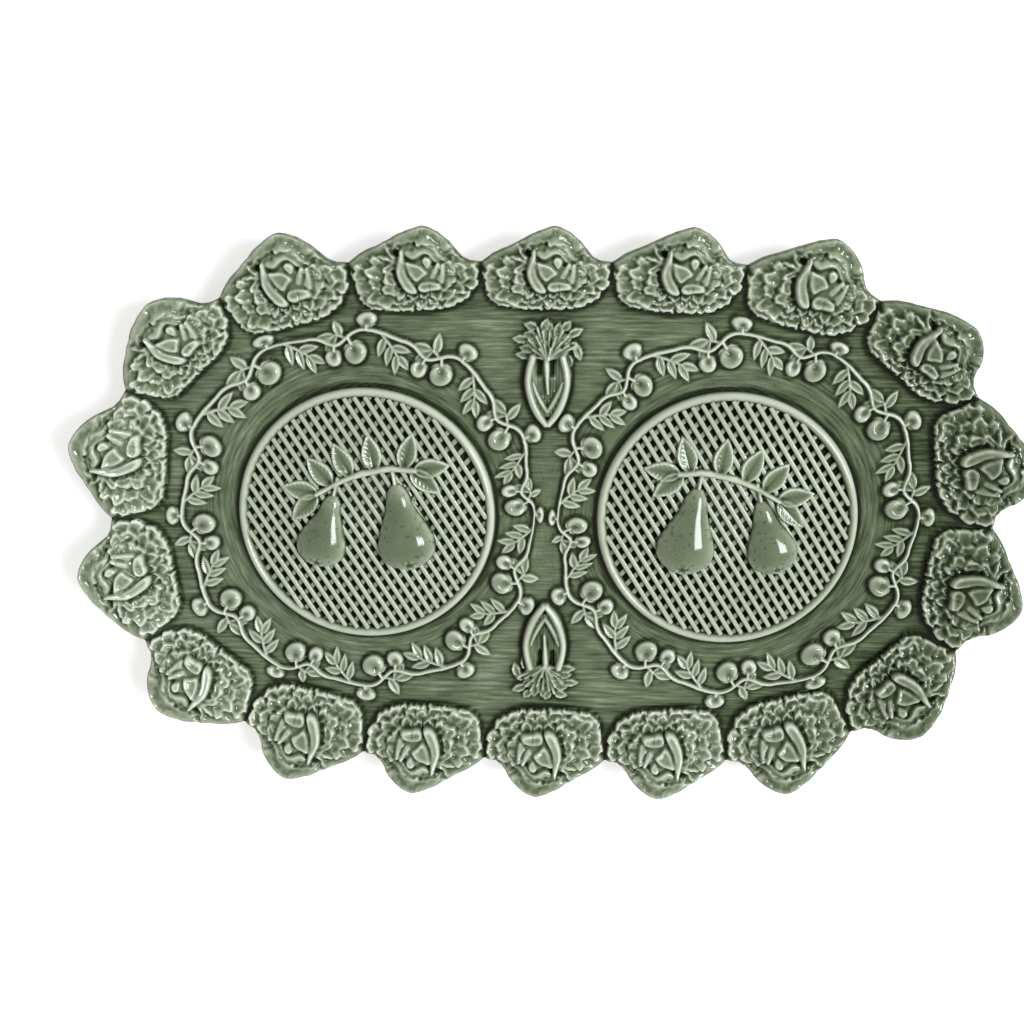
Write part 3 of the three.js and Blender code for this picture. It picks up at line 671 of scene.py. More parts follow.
def leaf_edges(x, y):
    """Curled leaf edges: each rises from its leaf and drops steeply into a crease on its open side."""
    rise = np.zeros(np.shape(x))
    crease = np.zeros(np.shape(x))
    for leaf_side, half, height, points in LEAF_EDGES:
        gap, _, left = to_path(x, y, smooth_path(points, EDGE_STEPS))
        half = EDGE_SOFTNESS * half
        on_leaf = (left * leaf_side > 0) | (leaf_side == 0)
        leaf_slope = LEAF_SLOPE if leaf_side else FREE_SLOPE
        width = np.where(on_leaf, leaf_slope * half, OPEN_SLOPE * half)
        rise = np.maximum(rise, height * bell(gap, width))
        line = CREASE_SHARE * height * bell(gap - CREASE_PLACE * half, CREASE_WIDTH * half)
        crease = np.maximum(crease, np.where(on_leaf & (leaf_side != 0), 0, line))
    return rise, crease


def leaf_hollows(x, y):
    deepest = np.zeros(np.shape(x))
    for half, depth, points in LEAF_HOLLOWS:
        gap, _, _ = to_path(x, y, smooth_path(points, EDGE_STEPS))
        deepest = np.maximum(deepest, depth * bell(gap, half))
    return deepest


print("Curled edges:", len(LEAF_EDGES), "hollows:", len(LEAF_HOLLOWS))

# %% Petals of the heart
BUD = [(-5.3, 3.7), (-3.3, 3.5), (-0.4, 2.8), (1.4, 1.6), (2.9, -0.6), (1.0, -2.2), (-1.4, -4.2),
       (-3.4, -2.6), (-4.6, -0.4)]
CRESCENT = [(-6.6, 8.2), (-6.1, 5.7), (-6.0, 3.0), (-5.8, 0.2), (-5.0, -2.4), (-3.4, -5.2), (-2.1, -7.4),
            (-1.7, -9.2), (-2.9, -9.7), (-4.9, -9.1), (-6.7, -7.3), (-8.1, -4.4), (-9.0, -1.4), (-9.0, 1.0),
            (-8.1, 4.0), (-7.2, 6.6)]
LOW_PETAL = [(-0.8, -6.5), (0.3, -5.1), (2.5, -4.6), (5.0, -4.8), (7.5, -5.5), (8.5, -6.9), (8.0, -8.0),
             (5.5, -8.4), (3.8, -8.6), (2.0, -9.1), (0.3, -8.7), (-0.6, -7.8)]
NUB = [(1.5, 4.5), (2.5, 5.8), (4.2, 5.3), (4.8, 3.9), (4.2, 2.3), (3.2, 1.4), (2.2, 2.6)]
INNER_FINGER = [(6.0, 1.6), (7.5, 3.4), (8.1, 2.7), (7.2, 0.0), (6.1, -2.6), (5.0, -3.1), (4.0, -2.2),
                (4.6, -0.6)]
OUTER_FINGER = [(9.0, 2.4), (9.9, 2.7), (10.1, 0.0), (9.7, -4.4), (9.0, -5.4), (7.5, -4.2), (6.9, -3.0),
                (8.4, -0.6)]
# Outline of each petal, height of its edge, crown over that, rounding of the edge and dish in the middle
PETALS = [
    (BUD, 5.6, 3.1, 1.2, 0.7),
    (CRESCENT, 5.6, 2.8, 1.0, 0.4),
    (LOW_PETAL, 5.4, 2.6, 1.0, 0.6),
    (NUB, 5.4, 2.7, 1.1, 0.0),
    (INNER_FINGER, 5.2, 2.7, 1.0, 0.0),
    (OUTER_FINGER, 5.0, 2.3, 1.0, 0.0),
]
PETAL_SWELL = 0.65  # the petals touch
PETAL_SKIRT = 0.12  # a petal's wall stands this far outside its swollen outline
PETAL_DISH_RUN = 3.0  # the dish is deepest this far inside the edge
PETAL_BUMPS = {"height": 0.3, "size": 2.2, "seed": 41}
# A groove splits the low petal: its depth, place and width, and where it begins and ends
GROOVE_DEPTH, GROOVE_X, GROOVE_WIDTH = 0.35, 3.8, 0.4
GROOVE_START, GROOVE_END = (-9.5, -8.0), (-6.0, -4.5)


def petal_form(x, y, outline, base, crown, rounding, dish):
    """A petal that fills an outline: rounded at its edge and slightly dished in the middle."""
    inside = inside_distance(x, y, outline) + PETAL_SWELL
    edge = 1 - np.clip(1 - inside / rounding, 0, None) ** 2
    top = base + crown * edge - dish * fade(rounding, PETAL_DISH_RUN, inside)
    return np.where(inside > -PETAL_SKIRT, top, BELOW)


def heart_petals(x, y):
    petals = np.maximum.reduce([petal_form(x, y, *petal) for petal in PETALS])
    groove = GROOVE_DEPTH * bell(x - GROOVE_X, GROOVE_WIDTH)
    groove = groove * fade(*GROOVE_START, y) * (1 - fade(*GROOVE_END, y))
    return petals - groove + bumps(x, y, **PETAL_BUMPS)


print("Petals:", len(PETALS))

# %% Height of a head
LEAVES_FROM = (7.0, 11.0)  # distance from the heart over which the crumpling of the leaves sets in
BROAD_PUSH, BROAD_SIZE = 2.4, 2.7  # the lobes are pushed about: how far, and size of the crumpling
FINE_PUSH, FINE_SIZE = 1.0, 1.3
SEEDS_X, SEEDS_Y = (51, 53), (52, 54)  # of the broad and the fine crumpling
LEAF_FOLDS = [(0.5, 3.7, 11), (0.25, 1.9, 23)]  # height, size and seed of creased folds
FOLD_MIDDLE = 0.4  # height of the folds that stays level
FOLD_WANDER = 1.4  # size of the bends of a fold, as a share of its own size
CREVICE = 0.8  # depth where there is no lobe
RISE_FILLS = 0.6  # share of a hollow that an edge across it fills
WELL_SIDE = (-7.0, -2.0)  # towards the well, the mass between the lobes falls away at the edge
WELL_DROP, WELL_DROP_SHARE = 3.0, (0.88, 0.98)
LOBE_ROLL, LOBE_ROLL_SHARE = 1.5, (0.95, 1.0)  # and the lobes roll down


def folds(x, y, size, seed):
    """Creased ridges, from 0 in the hollows to 1 on the creases."""
    shift = bumps(x, y, size, FOLD_WANDER * size, seed + 1)
    return 1 - np.abs(2 * crumple(x + shift, y - shift, size, seed) - 1)


def pushed(x, y, broad_seed, fine_seed):
    return bumps(x, y, BROAD_PUSH, BROAD_SIZE, broad_seed) + bumps(x, y, FINE_PUSH, FINE_SIZE, fine_seed)


def head_height(x, y):
    away = fade(*LEAVES_FROM, np.hypot(x, y))
    bent_x = x + away * pushed(x, y, *SEEDS_X)
    bent_y = y + away * pushed(x, y, *SEEDS_Y)
    rise, crease = leaf_edges(bent_x, bent_y)
    hollows = np.maximum(leaf_hollows(bent_x, bent_y), crease) * (1 - RISE_FILLS * np.clip(rise, 0, 1))
    lumps = sum(height * (FOLD_MIDDLE - folds(x, y, size, seed)) for height, size, seed in LEAF_FOLDS)
    mass, share, lip_side = mass_profile(x, y)
    well_side = 1 - fade(*WELL_SIDE, y)
    between = CREVICE * away * (1 - lip_side) + WELL_DROP * fade(*WELL_DROP_SHARE, share) * well_side
    rings = [ring_height(bent_x, bent_y, mass, ring) for ring in LOBE_RINGS]
    lobes = np.maximum.reduce(rings) - LOBE_ROLL * fade(*LOBE_ROLL_SHARE, share)
    leaves = np.maximum(lobes, mass - between + rise) - hollows + away * lumps
    return np.maximum(leaves, heart_petals(x, y))


print("Height over the rim at the heart, mm:", round(float(head_height(np.array(0.0), np.array(0.0))), 2))

# %% One head, flat
HEAD_CELLS = 144
HEAD_SINK = -0.5  # the lowest leaves dip this far into the rim
HEAD_BACK = -1.2  # the back lies this far inside the rim
BACK_ROWS = (1, 0.6, 0.3)  # size of each row of the back as a share of the row before it
CLAY_SOFTENING = 0.4  # how far one smoothing step draws a point to its neighbours

flat_head, across, along = new_grid("flat_head", HEAD_CELLS, HEAD_CELLS)
head_share, head_place = square_to_round(across, along, HEAD_CELLS, HEAD_CELLS)
head_angle = TURN * (head_place + 0.25)  # a place of 0 is the far side, a quarter turn on from +X
head_reach = head_share * head_outline(head_angle)
head_x = head_reach * np.cos(head_angle)
head_y = head_reach * np.sin(head_angle)
head_z = np.maximum(head_height(head_x, head_y), HEAD_SINK)
write_points(flat_head, np.stack([head_x, head_y, head_z], axis=-1))
edit_all(flat_head)
bpy.ops.mesh.vertices_smooth(factor=CLAY_SOFTENING, repeat=2)
end_edit()


def drawn_in(share):
    """The next row of the head's back, drawn in towards the heart."""
    return lambda points, picked: np.column_stack([points[:, :2] * share, np.full(len(points), HEAD_BACK)])


select_open_edge(flat_head)
for share in BACK_ROWS:
    extrude_row(flat_head, drawn_in(share))
close_edge(flat_head)
print("One head:", len(flat_head.data.polygons), "faces,", round(float(head_z.max()), 2), "mm high")

# %% Heads bent onto the rim
flat_points = read_points(flat_head)
for head in range(HEAD_COUNT):
    name = f"lettuce_head_{head + 1:02d}"
    piece = copy_piece(flat_head, f"{name}_glazed")
    along = head * head_pitch - flat_points[:, 0]
    write_points(piece, rim_point(along, flat_points[:, 1], flat_points[:, 2]))
    finish_piece(piece, "glaze_lettuce", name)
discard(flat_head)
print("Heads:", HEAD_COUNT)

# %% [markdown]
# ## Medallions
#
# Each medallion is basketwork inside a half-round bead. The straps really are two layers of bars over a
# thin ground, so they are modelled as bars: a cube for each strap, cut to the width of the circle there,
# all joined and bevelled. The bead is a circle spun round the medallion and cut off flat.

# %% Straps of the basketwork
BEAD_WIDTH = 4.6
BEAD_HEIGHT = 4.8
GROUND_THICKNESS = 1.0
STRAP_THICKNESS = 1.3
OVER_PITCH, OVER_WIDTH, OVER_ANGLE = 3.9, 1.95, 122
UNDER_PITCH, UNDER_WIDTH, UNDER_ANGLE = 4.8, 2.2, 46
STRAP_BEVEL, BEVEL_STEPS = 0.55, 3
STRAP_TUCK = 1.0  # the straps end under the bead
STRAP_SINK = 0.5  # and each layer sinks into the one below it
lattice_radius = medallion_radius - BEAD_WIDTH - SLIP
strap_reach = lattice_radius + STRAP_TUCK


def straps(name, pitch, width, angle, low, high):
    """Parallel bars across a circle at the origin, from one height to another."""
    turn = math.radians(angle)
    most = int((strap_reach - width) / pitch)
    bars = []
    for place in np.arange(-most, most + 1) * pitch:
        half = math.sqrt(strap_reach**2 - place**2)
        middle = np.array([-math.sin(turn) * place, math.cos(turn) * place, (low + high) / 2]) * MM
        deselect_all()
        bpy.ops.mesh.primitive_cube_add(size=1, location=middle, rotation=(0, 0, turn))
        bar = bpy.context.object
        bar.scale = np.array([2 * half, width, high - low]) * MM
        bars.append(bar)
    for bar in bars:
        bar.select_set(True)
    bpy.ops.object.join()
    piece = bpy.context.object
    piece.name = name
    bpy.ops.object.transform_apply(location=True, rotation=True, scale=True)
    edit_all(piece)
    bpy.ops.mesh.bevel(offset=STRAP_BEVEL * MM, segments=BEVEL_STEPS, affect="EDGES")
    end_edit()
    return piece


ground_top = GROUND_THICKNESS
under_top = ground_top + STRAP_THICKNESS
over_top = under_top + STRAP_THICKNESS + SLIP
under_straps = straps("under_straps", UNDER_PITCH, UNDER_WIDTH, UNDER_ANGLE,
                      ground_top - STRAP_SINK, under_top)
over_straps = straps("over_straps", OVER_PITCH, OVER_WIDTH, OVER_ANGLE,
                     under_top - STRAP_SINK, over_top)
print("Straps:", len(under_straps.data.polygons), "and", len(over_straps.data.polygons), "faces")

# %% Ground of the basketwork and bead
BEAD_STEPS = 240
BEAD_SECTION = 32

deselect_all()
bpy.ops.mesh.primitive_cylinder_add(vertices=BEAD_STEPS, radius=strap_reach * MM, depth=ground_top * MM,
                                    location=(0, 0, ground_top / 2 * MM))
basket_ground = bpy.context.object
bpy.ops.object.transform_apply(location=True, rotation=True, scale=True)
under_straps.select_set(True)
bpy.ops.object.join()

bead_middle = medallion_radius - BEAD_WIDTH / 2
deselect_all()
bpy.ops.mesh.primitive_circle_add(vertices=BEAD_SECTION, radius=MM, rotation=(math.pi / 2, 0, 0))
bead = bpy.context.object
bead.scale = (BEAD_WIDTH / 2, BEAD_HEIGHT, 1)
bead.location = (bead_middle * MM, 0, 0)
bpy.ops.object.transform_apply(location=True, rotation=True, scale=True)
edit_all(bead)
bpy.ops.mesh.spin(steps=BEAD_STEPS, angle=TURN, center=(0, 0, 0), axis=(0, 0, 1))
bpy.ops.mesh.select_all(action="SELECT")
bpy.ops.mesh.remove_doubles(threshold=MERGE_GAP * MM)
bpy.ops.mesh.bisect(plane_co=(0, 0, -SLIP * MM), plane_no=(0, 0, 1), clear_inner=True)
bpy.ops.mesh.bridge_edge_loops()
face_out()
print("Bead:", len(bead.data.polygons), "faces")

# %% Medallions at their places
medallion_masters = (basket_ground, over_straps, bead)
for label, side in (("left", -1), ("right", 1)):
    place = np.array([side * medallion_x, 0, well_z])
    for master, stem in zip(medallion_masters, ("basket_ground", "basket_straps", "medallion_bead")):
        piece = copy_piece(master, f"{stem}_{label}_glazed")
        write_points(piece, read_points(master) + place)
        finish_piece(piece, "glaze_relief", f"{stem}_{label}")
for master in medallion_masters:
    discard(master)
print("Medallions at X, mm:", round(medallion_x, 1))

# %% [markdown]
# ## Pears on the medallions
#
# Two pears hang from a leafy twig on each medallion, mirrored from one to the other. A pear is a lifted
# grid: half round across, with the narrow neck and the small dent and crown of a real pear at its end. The
# twig and its leaves are one pressed sprig.

# %% A lifted grid
LIFT_LOW = -1.5  # lower places are cut off in any case


def lifted(name, left, right, low, high, cell, height_at, softening=1):
    """A grid over a rectangle, lifted by a height formula, softened like clay and cut off flat at 0."""
    columns = round((right - left) / cell)
    rows = round((high - low) / cell)
    piece, across, along = new_grid(name, columns, rows)
    x = left + (across + 1) / 2 * (right - left)
    y = low + (along + 1) / 2 * (high - low)
    write_points(piece, np.stack([x, y, np.maximum(height_at(x, y), LIFT_LOW)], axis=-1))
    edit_all(piece)
    bpy.ops.mesh.vertices_smooth(factor=CLAY_SOFTENING, repeat=softening, xaxis=False, yaxis=False)
    end_edit()
    cut_flat(piece)
    return piece


# %% Leaves with a midrib and veins
LEAF_BELLY, LEAF_BLUNTNESS = 0.8, 0.85  # powers that say where a leaf is widest and how blunt its ends are
LEAF_TOOTH = 0.18  # depth of the teeth as a share of the width
LEAF_MIDDLE = 0.48  # height along the middle as a share of that at the edges
LEAF_DROOP = 0.3  # share of the height by which the tip lies lower
LEAF_ROLL, LEAF_ROLL_WIDTH = 0.5, 0.55  # the rounded edge: share of the height, width in millimetres
LEAF_FOOT, LEAF_FALL = 0.3, 2.5  # outside the edge: share of the height where the fall starts, steepness
MIDRIB_DEPTH, MIDRIB_WIDTH = 0.4, 0.07  # in millimetres, and as a share of the leaf's width
VEIN_SHARE, VEIN_PITCH = 0.006, 0.13  # height and pitch of the veins as shares of the leaf's length
VEIN_SLANT = 0.8
VEIN_FROM = (0.15, 0.4)  # share of the way to the edge over which the veins set in
LEAST_HALF = 0.01  # keeps a division away from 0


def run_and_side(x, y, base, direction):
    """Distances from a base point along a direction in degrees, and to the left of it."""
    turn = math.radians(direction)
    run = (x - base[0]) * math.cos(turn) + (y - base[1]) * math.sin(turn)
    side = (y - base[1]) * math.cos(turn) - (x - base[0]) * math.sin(turn)
    return run, side


def leaf_form(x, y, base, direction, length, width, height, teeth=0):
    """A leaf from a base point along a direction in degrees: raised edges, a midrib and side veins."""
    run, side = run_and_side(x, y, base, direction)
    share = np.clip(run / length, 0, 1)
    half = width / 2 * np.sin(math.pi * share**LEAF_BELLY) ** LEAF_BLUNTNESS
    if teeth:
        half = half * (1 - LEAF_TOOTH + LEAF_TOOTH * np.mod(teeth * share, 1))
    edge = half - np.abs(side)
    across = np.clip(np.abs(side) / np.maximum(half, LEAST_HALF), 0, 1)
    rounding = np.clip(1 - np.clip(edge, 0, None) / LEAF_ROLL_WIDTH, 0, 1) ** 2
    cup = LEAF_MIDDLE + (1 - LEAF_MIDDLE) * across**2
    top = height * cup * (1 - LEAF_DROOP * share) - LEAF_ROLL * height * rounding
    midrib = MIDRIB_DEPTH * bell(side, MIDRIB_WIDTH * width) * (1 - share)
    waves = np.sin(TURN * (run - VEIN_SLANT * np.abs(side)) / (VEIN_PITCH * length))
    veins = VEIN_SHARE * length * waves * fade(*VEIN_FROM, across)
    gap = np.minimum(np.minimum(edge, run), length - run)
    fall = np.maximum(LEAF_FOOT * height + LEAF_FALL * gap, BELOW)
    return np.where(gap > 0, top - midrib + veins, fall)


# %% Pears
PEAR_LENGTH = 38.0
PEAR_WIDTH = 25.0
PEAR_HEIGHT = 7.5
PEAR_ROUNDNESS = 0.75  # power by which the height follows the width
LARGE_PEAR = {"name": "pear_large", "x": -0.25, "y": 0.28, "tilt": -10, "share": 1.0}
SMALL_PEAR = {"name": "pear_small", "x": 0.27, "y": 0.18, "tilt": 15, "share": 0.86}
PEAR_OUTLINE = np.array([(0, 2.2), (4, 4.6), (11, 6.6), (19, 10.2), (26, 12.5), (32, 11.4), (36, 7.2),
                         (38, 2.6)])
CROWN_PLACE = 0.93 * PEAR_LENGTH
CROWN_DENT, DENT_WIDTH = 1.6, 2.2
CROWN_POINTS, POINT_HEIGHT, POINT_RADIUS, POINT_WIDTH = 5, 0.45, 1.9, 0.8
PEAR_MARGIN, PEAR_CELL = 1.5, 0.4  # bare border and cell of its grid
FRUIT_SINK = 0.6  # the fruit sinks a little between the straps
fruit_bed = well_z + over_top - FRUIT_SINK


def pear_height(x, y):
    """A pear with its narrow end at the origin and its crown along +Y."""
    path = smooth_path(PEAR_OUTLINE)
    half = np.interp(y, path[:, 0], path[:, 1])
    across = np.clip(np.abs(x) / half, 0, 1)
    size = half / PEAR_OUTLINE[:, 1].max()
    dome = (PEAR_HEIGHT + FRUIT_SINK) * size**PEAR_ROUNDNESS * np.sqrt(np.clip(1 - across**2, 0, 1))
    crown_gap = np.hypot(x, y - CROWN_PLACE)
    crown_turn = np.arctan2(x, y - CROWN_PLACE)
    dent = CROWN_DENT * bell(crown_gap, DENT_WIDTH)
    points = POINT_HEIGHT * (1 + np.cos(CROWN_POINTS * crown_turn))
    points = points * bell(crown_gap - POINT_RADIUS, POINT_WIDTH)
    inside = np.minimum(np.minimum(half - np.abs(x), y), PEAR_LENGTH - y)
    return np.where(inside > 0, dome - dent + points, FOOT_FALL * inside)


def turned(points, degrees):
    turn = math.radians(degrees)
    x = points[:, 0] * math.cos(turn) - points[:, 1] * math.sin(turn)
    y = points[:, 0] * math.sin(turn) + points[:, 1] * math.cos(turn)
    return np.column_stack([x, y, points[:, 2]])


def add_pear(pear, label, side):
    half = PEAR_WIDTH / 2 + PEAR_MARGIN
    piece = lifted(f"{pear['name']}_{label}_glazed", -half, half, -PEAR_MARGIN, PEAR_LENGTH + PEAR_MARGIN,
                   PEAR_CELL, pear_height, softening=2)
    top_x = side * (medallion_x + pear["x"] * lattice_radius)
    top = np.array([top_x, pear["y"] * lattice_radius, fruit_bed])
    write_points(piece, turned(read_points(piece) * pear["share"], 180 + side * pear["tilt"]) + top)
    finish_piece(piece, "glaze_relief", f"{pear['name']}_{label}")


print("Pears, mm long:", [round(pear["share"] * PEAR_LENGTH, 1) for pear in (LARGE_PEAR, SMALL_PEAR)])

# %% Twig
TWIG_WIDTHS = [1.5, 1.65, 1.2]  # half widths along it
TWIG_REACH, TWIG_LOW = 0.84, -0.2  # shares of the lattice's radius
TWIG_CELL = 0.3
PEAR_STALK = 7.0
PEAR_STALK_WIDTHS = [1.0, 0.9, 1.3]
PEAR_LEAF = {"length": 16.0, "width": 8.5, "height": 3.2}
TWIG_LINE = np.array([(-0.42, 0.4), (-0.18, 0.41), (0.14, 0.33), (0.42, 0.18)]) * lattice_radius
# Where each leaf starts, in radii of the lattice, and its direction in degrees
TWIG_LEAVES = [(-0.4, 0.4, 172), (-0.32, 0.41, 105), (-0.08, 0.39, 80), (0.12, 0.34, 62), (0.28, 0.26, 48),
               (0.4, 0.19, 10), (0.41, 0.18, -45), (-0.38, 0.4, -142)]


def stepped(point, direction, distance):
    turn = math.radians(direction)
    return point + distance * np.array([math.cos(turn), math.sin(turn)])


def twig_height(x, y):
    forms = [stem_form(x, y, TWIG_LINE, TWIG_WIDTHS, base=0.6, crown=2.6)]
    for pear in (LARGE_PEAR, SMALL_PEAR):
        top = np.array([pear["x"], pear["y"]]) * lattice_radius
        tip = stepped(top, 90 + pear["tilt"], PEAR_STALK)
        forms.append(stalk_form(x, y, top, tip, PEAR_STALK_WIDTHS, base=0.6, crown=2.2))
    for left, up, direction in TWIG_LEAVES:
        base = np.array([left, up]) * lattice_radius
        forms.append(leaf_form(x, y, base, direction, **PEAR_LEAF))
    return np.maximum.reduce(forms)


def add_twig(label, side):
    reach = TWIG_REACH * lattice_radius
    piece = lifted(f"pear_twig_{label}_glazed", -reach, reach, TWIG_LOW * lattice_radius, reach, TWIG_CELL,
                   twig_height)
    write_points(piece, read_points(piece) * (side, 1, 1) + (side * medallion_x, 0, fruit_bed))
    merge_and_face_out(piece)
    finish_piece(piece, "glaze_relief", f"pear_twig_{label}")


for label, side in (("left", -1), ("right", 1)):
    add_pear(LARGE_PEAR, label, side)
    add_pear(SMALL_PEAR, label, side)
    add_twig(label, side)
print("Pears and twigs made")

# %% [markdown]
# ## Wreaths of vine
#
# A wreath is twelve alike sprigs set end to end. One sprig is modelled straight, with its waving stem,
# fruits, bud and leaves, and each copy is bent round the oval. Where the bead or the other wreath is
# near, the sprig is drawn in, as the modeller would have done.

# %% Stem of a sprig
VINE_SPRIGS = 12
VINE_END_OFFSET = 18.9  # from the bead out to the middle of the stem, along the platter
VINE_SIDE_OFFSET = 21.2  # and across it
VINE_POWER = 2.15  # the wreath is fuller than an ellipse, which has 2
VINE_SHIFT = 3.9  # the wreath's middle lies this far outside the medallion's
VINE_WAVE = 2.6  # the stem waves once to a sprig
VINE_RIPPLE = 1.2  # and ripples twice
VINE_KINK, KINKS = 0.5, 3  # and bends sharply three times
WAVE_LAG = 0.08  # share of the sprig
wreath_length = medallion_radius + VINE_END_OFFSET
wreath_width = medallion_radius + VINE_SIDE_OFFSET
wreath_x = medallion_x + VINE_SHIFT
sprig_length = TURN * wreath_width / VINE_SPRIGS


def stem_place(share):
    wave = VINE_WAVE * math.cos(TURN * (share - WAVE_LAG))
    ripple = VINE_RIPPLE * math.cos(2 * TURN * (share + WAVE_LAG))
    kink = VINE_KINK * (1 - 2 * abs(2 * (KINKS * share % 1) - 1))
    return np.array([share * sprig_length, wave + ripple + kink])


print("Sprig, mm:", round(sprig_length, 1), "of a wreath", round(2 * wreath_length, 1), "by",
      round(2 * wreath_width, 1))

# %% Fruits of a sprig
FRUIT_SEAT = 0.85  # from the joint to the fruit's middle, in radii
DOME_SHOULDER, DOME_TOP = 3, 0.45  # powers of its profile
HOLLOW_SHARE, HOLLOW_PLACE = 0.6, 0.35  # depth in heights, and place before the middle in radii
HOLLOW_LENGTH, HOLLOW_WIDTH = 0.5, 0.42
FRUIT_STALK_WIDTHS = [0.85, 0.75, 0.95]
SEPAL_LEANS = (-78, -30, 74)
SEPAL_LENGTH, SEPAL_WIDTH, SEPAL_HEIGHT = 0.95, 0.5, 2.9  # the first two in radii
# Place along the sprig, direction, stalk, radius, height and breadth; the last one is a bud
SPRIG_FRUITS = [
    (-0.215, -63, 3.2, 5.0, 3.9, 1.05),
    (-0.36, -102, 2.3, 3.8, 3.2, 1.05),
    (-0.025, 90, 1.6, 3.6, 2.9, 1.12),
]


def fruit_form(x, y, share, direction, stalk, radius, height, breadth):
    """A round fruit on a stalk: hollow where the stalk joins it, with curled sepals there."""
    foot = stem_place(share)
    joint = stepped(foot, direction, stalk)
    middle = stepped(foot, direction, stalk + FRUIT_SEAT * radius)
    run, side = run_and_side(x, y, middle, direction)
    share_out = np.hypot(run * breadth, side / breadth) / radius
    dome = height * np.clip(1 - share_out**DOME_SHOULDER, 0, 1) ** DOME_TOP
    hollow = bell(run / radius + HOLLOW_PLACE, HOLLOW_LENGTH) * bell(side / radius, HOLLOW_WIDTH)
    inside = dome - HOLLOW_SHARE * height * hollow
    forms = [np.where(share_out < 1, inside, FOOT_FALL * radius * (1 - share_out))]
    forms.append(stalk_form(x, y, foot, joint, FRUIT_STALK_WIDTHS, base=0.6, crown=1.9))
    for lean in SEPAL_LEANS:
        forms.append(leaf_form(x, y, joint, direction + lean, SEPAL_LENGTH * radius, SEPAL_WIDTH * radius,
                               SEPAL_HEIGHT))
    return np.maximum.reduce(forms)


print("Fruits and buds to a sprig:", len(SPRIG_FRUITS))

# %% Sprays of leaflets
LEAFLET = {"length": 8.8, "width": 3.8, "height": 2.5}
SPRAY_STALK_WIDTHS = [0.8, 0.7, 0.6]
# Place along the sprig, direction and stalk, then each leaflet's place along the stalk and its turn from it
SPRIG_SPRAYS = [
    (0.116, -44, 12.0, [(0.22, -56), (0.58, -48), (0.95, -36), (0.62, 42), (1.0, 12)]),
    (-0.228, 160, 4.6, [(0.5, -55), (1.0, 25), (0.9, 68)]),
]


def spray_form(x, y, share, direction, stalk, leaflets):
    """A leaf of several leaflets."""
    foot = stem_place(share)
    fork = stepped(foot, direction, stalk)
    forms = [stalk_form(x, y, foot, fork, SPRAY_STALK_WIDTHS, base=0.5, crown=1.2)]
    for place, lean in leaflets:
        start = stepped(foot, direction, place * stalk)
        forms.append(leaf_form(x, y, start, direction + lean, **LEAFLET))
    return np.maximum.reduce(forms)


print("Leaflets to a sprig:", sum(len(leaflets) for _, _, _, leaflets in SPRIG_SPRAYS))

# %% One sprig, straight
STEM_RADIUS = 0.88
STEM_END, STEM_POINTS = 0.515, 37  # the stems of two sprigs overlap a little
SPRIG_BACK, SPRIG_FRONT = 0.62, 0.56  # in lengths of a sprig
SPRIG_INNER, SPRIG_OUTER = 17.5, 13.5
SPRIG_CELL = 0.27


def sprig_height(x, y):
    stem = [stem_place(share) for share in np.linspace(-STEM_END, STEM_END, STEM_POINTS)]
    forms = [stem_form(x, y, stem, [STEM_RADIUS] * 2, base=0.7, crown=1.7)]
    forms += [fruit_form(x, y, *fruit) for fruit in SPRIG_FRUITS]
    forms += [spray_form(x, y, *spray) for spray in SPRIG_SPRAYS]
    return np.maximum.reduce(forms)


flat_sprig = lifted("flat_sprig", -SPRIG_BACK * sprig_length, SPRIG_FRONT * sprig_length, -SPRIG_INNER,
                    SPRIG_OUTER, SPRIG_CELL, sprig_height)
sprig_points = read_points(flat_sprig)
sprig_out = sprig_points[:, 1].max()
sprig_in = -sprig_points[:, 1].min()
print("One sprig:", len(flat_sprig.data.polygons), "faces, reach, mm:",
      round(sprig_out, 1), round(sprig_in, 1))

# %% Room for the sprigs
VINE_GAP = 0.8
COVE_ROOM = 3.0  # leaves and buds may lie this far up the cove
ROOM_STEP = 0.1
ROOM_TURNS = 1500
CELERY_WIDTH = 17.0
CELERY_LENGTH = 31.0  # of the stalks
CELERY_LEAF_REACH = 13.0
CELERY_SETBACK = 4.0  # from the well's edge in to the leaves
well_length = heart_length - HEAD_DEPTH
well_width = heart_width - HEAD_DEPTH
celery_y = well_width - CELERY_SETBACK - CELERY_LENGTH - CELERY_LEAF_REACH


def wreath_reach(turn):
    """Distance from the wreath's middle to its stem."""
    along = np.abs(np.cos(turn) / wreath_length) ** VINE_POWER
    across = np.abs(np.sin(turn) / wreath_width) ** VINE_POWER
    return (along + across) ** (-1 / VINE_POWER)


def room_outwards(turn):
    """Room outside the stem before the rim, the celery or the other wreath."""
    steps = np.arange(0, sprig_out, ROOM_STEP)
    distance = wreath_reach(turn)[:, None] + steps + VINE_GAP
    x = distance * np.cos(turn)[:, None] - wreath_x
    y = np.abs(distance * np.sin(turn)[:, None])
    widened = np.clip((y - celery_y + VINE_GAP) / (CELERY_LENGTH / 2), 0, 1)
    along = (np.abs(x) / (well_length + COVE_ROOM)) ** OVAL_POWER
    across = (y / (well_width + COVE_ROOM)) ** OVAL_POWER
    free = (along + across < 1) & (x < -widened * CELERY_WIDTH / 2)
    return np.where(free, steps, 0).max(axis=1)


room_turns = np.linspace(-TURN - 1, 1, ROOM_TURNS)
room_table = room_outwards(room_turns)
print("Room outside the stem, mm:", round(room_table.min(), 1), "to", round(room_table.max(), 1))

# %% Sprigs bent round the wreaths
VINE_DRIFT = [0, 0, -3, 0, -2, -1, -1, -2, 5, 6, 6.5, 7, 0]  # each sprig's shift clockwise, the first twice
PRESSED_IN = 0.1  # sprigs and celery sink this far into the well


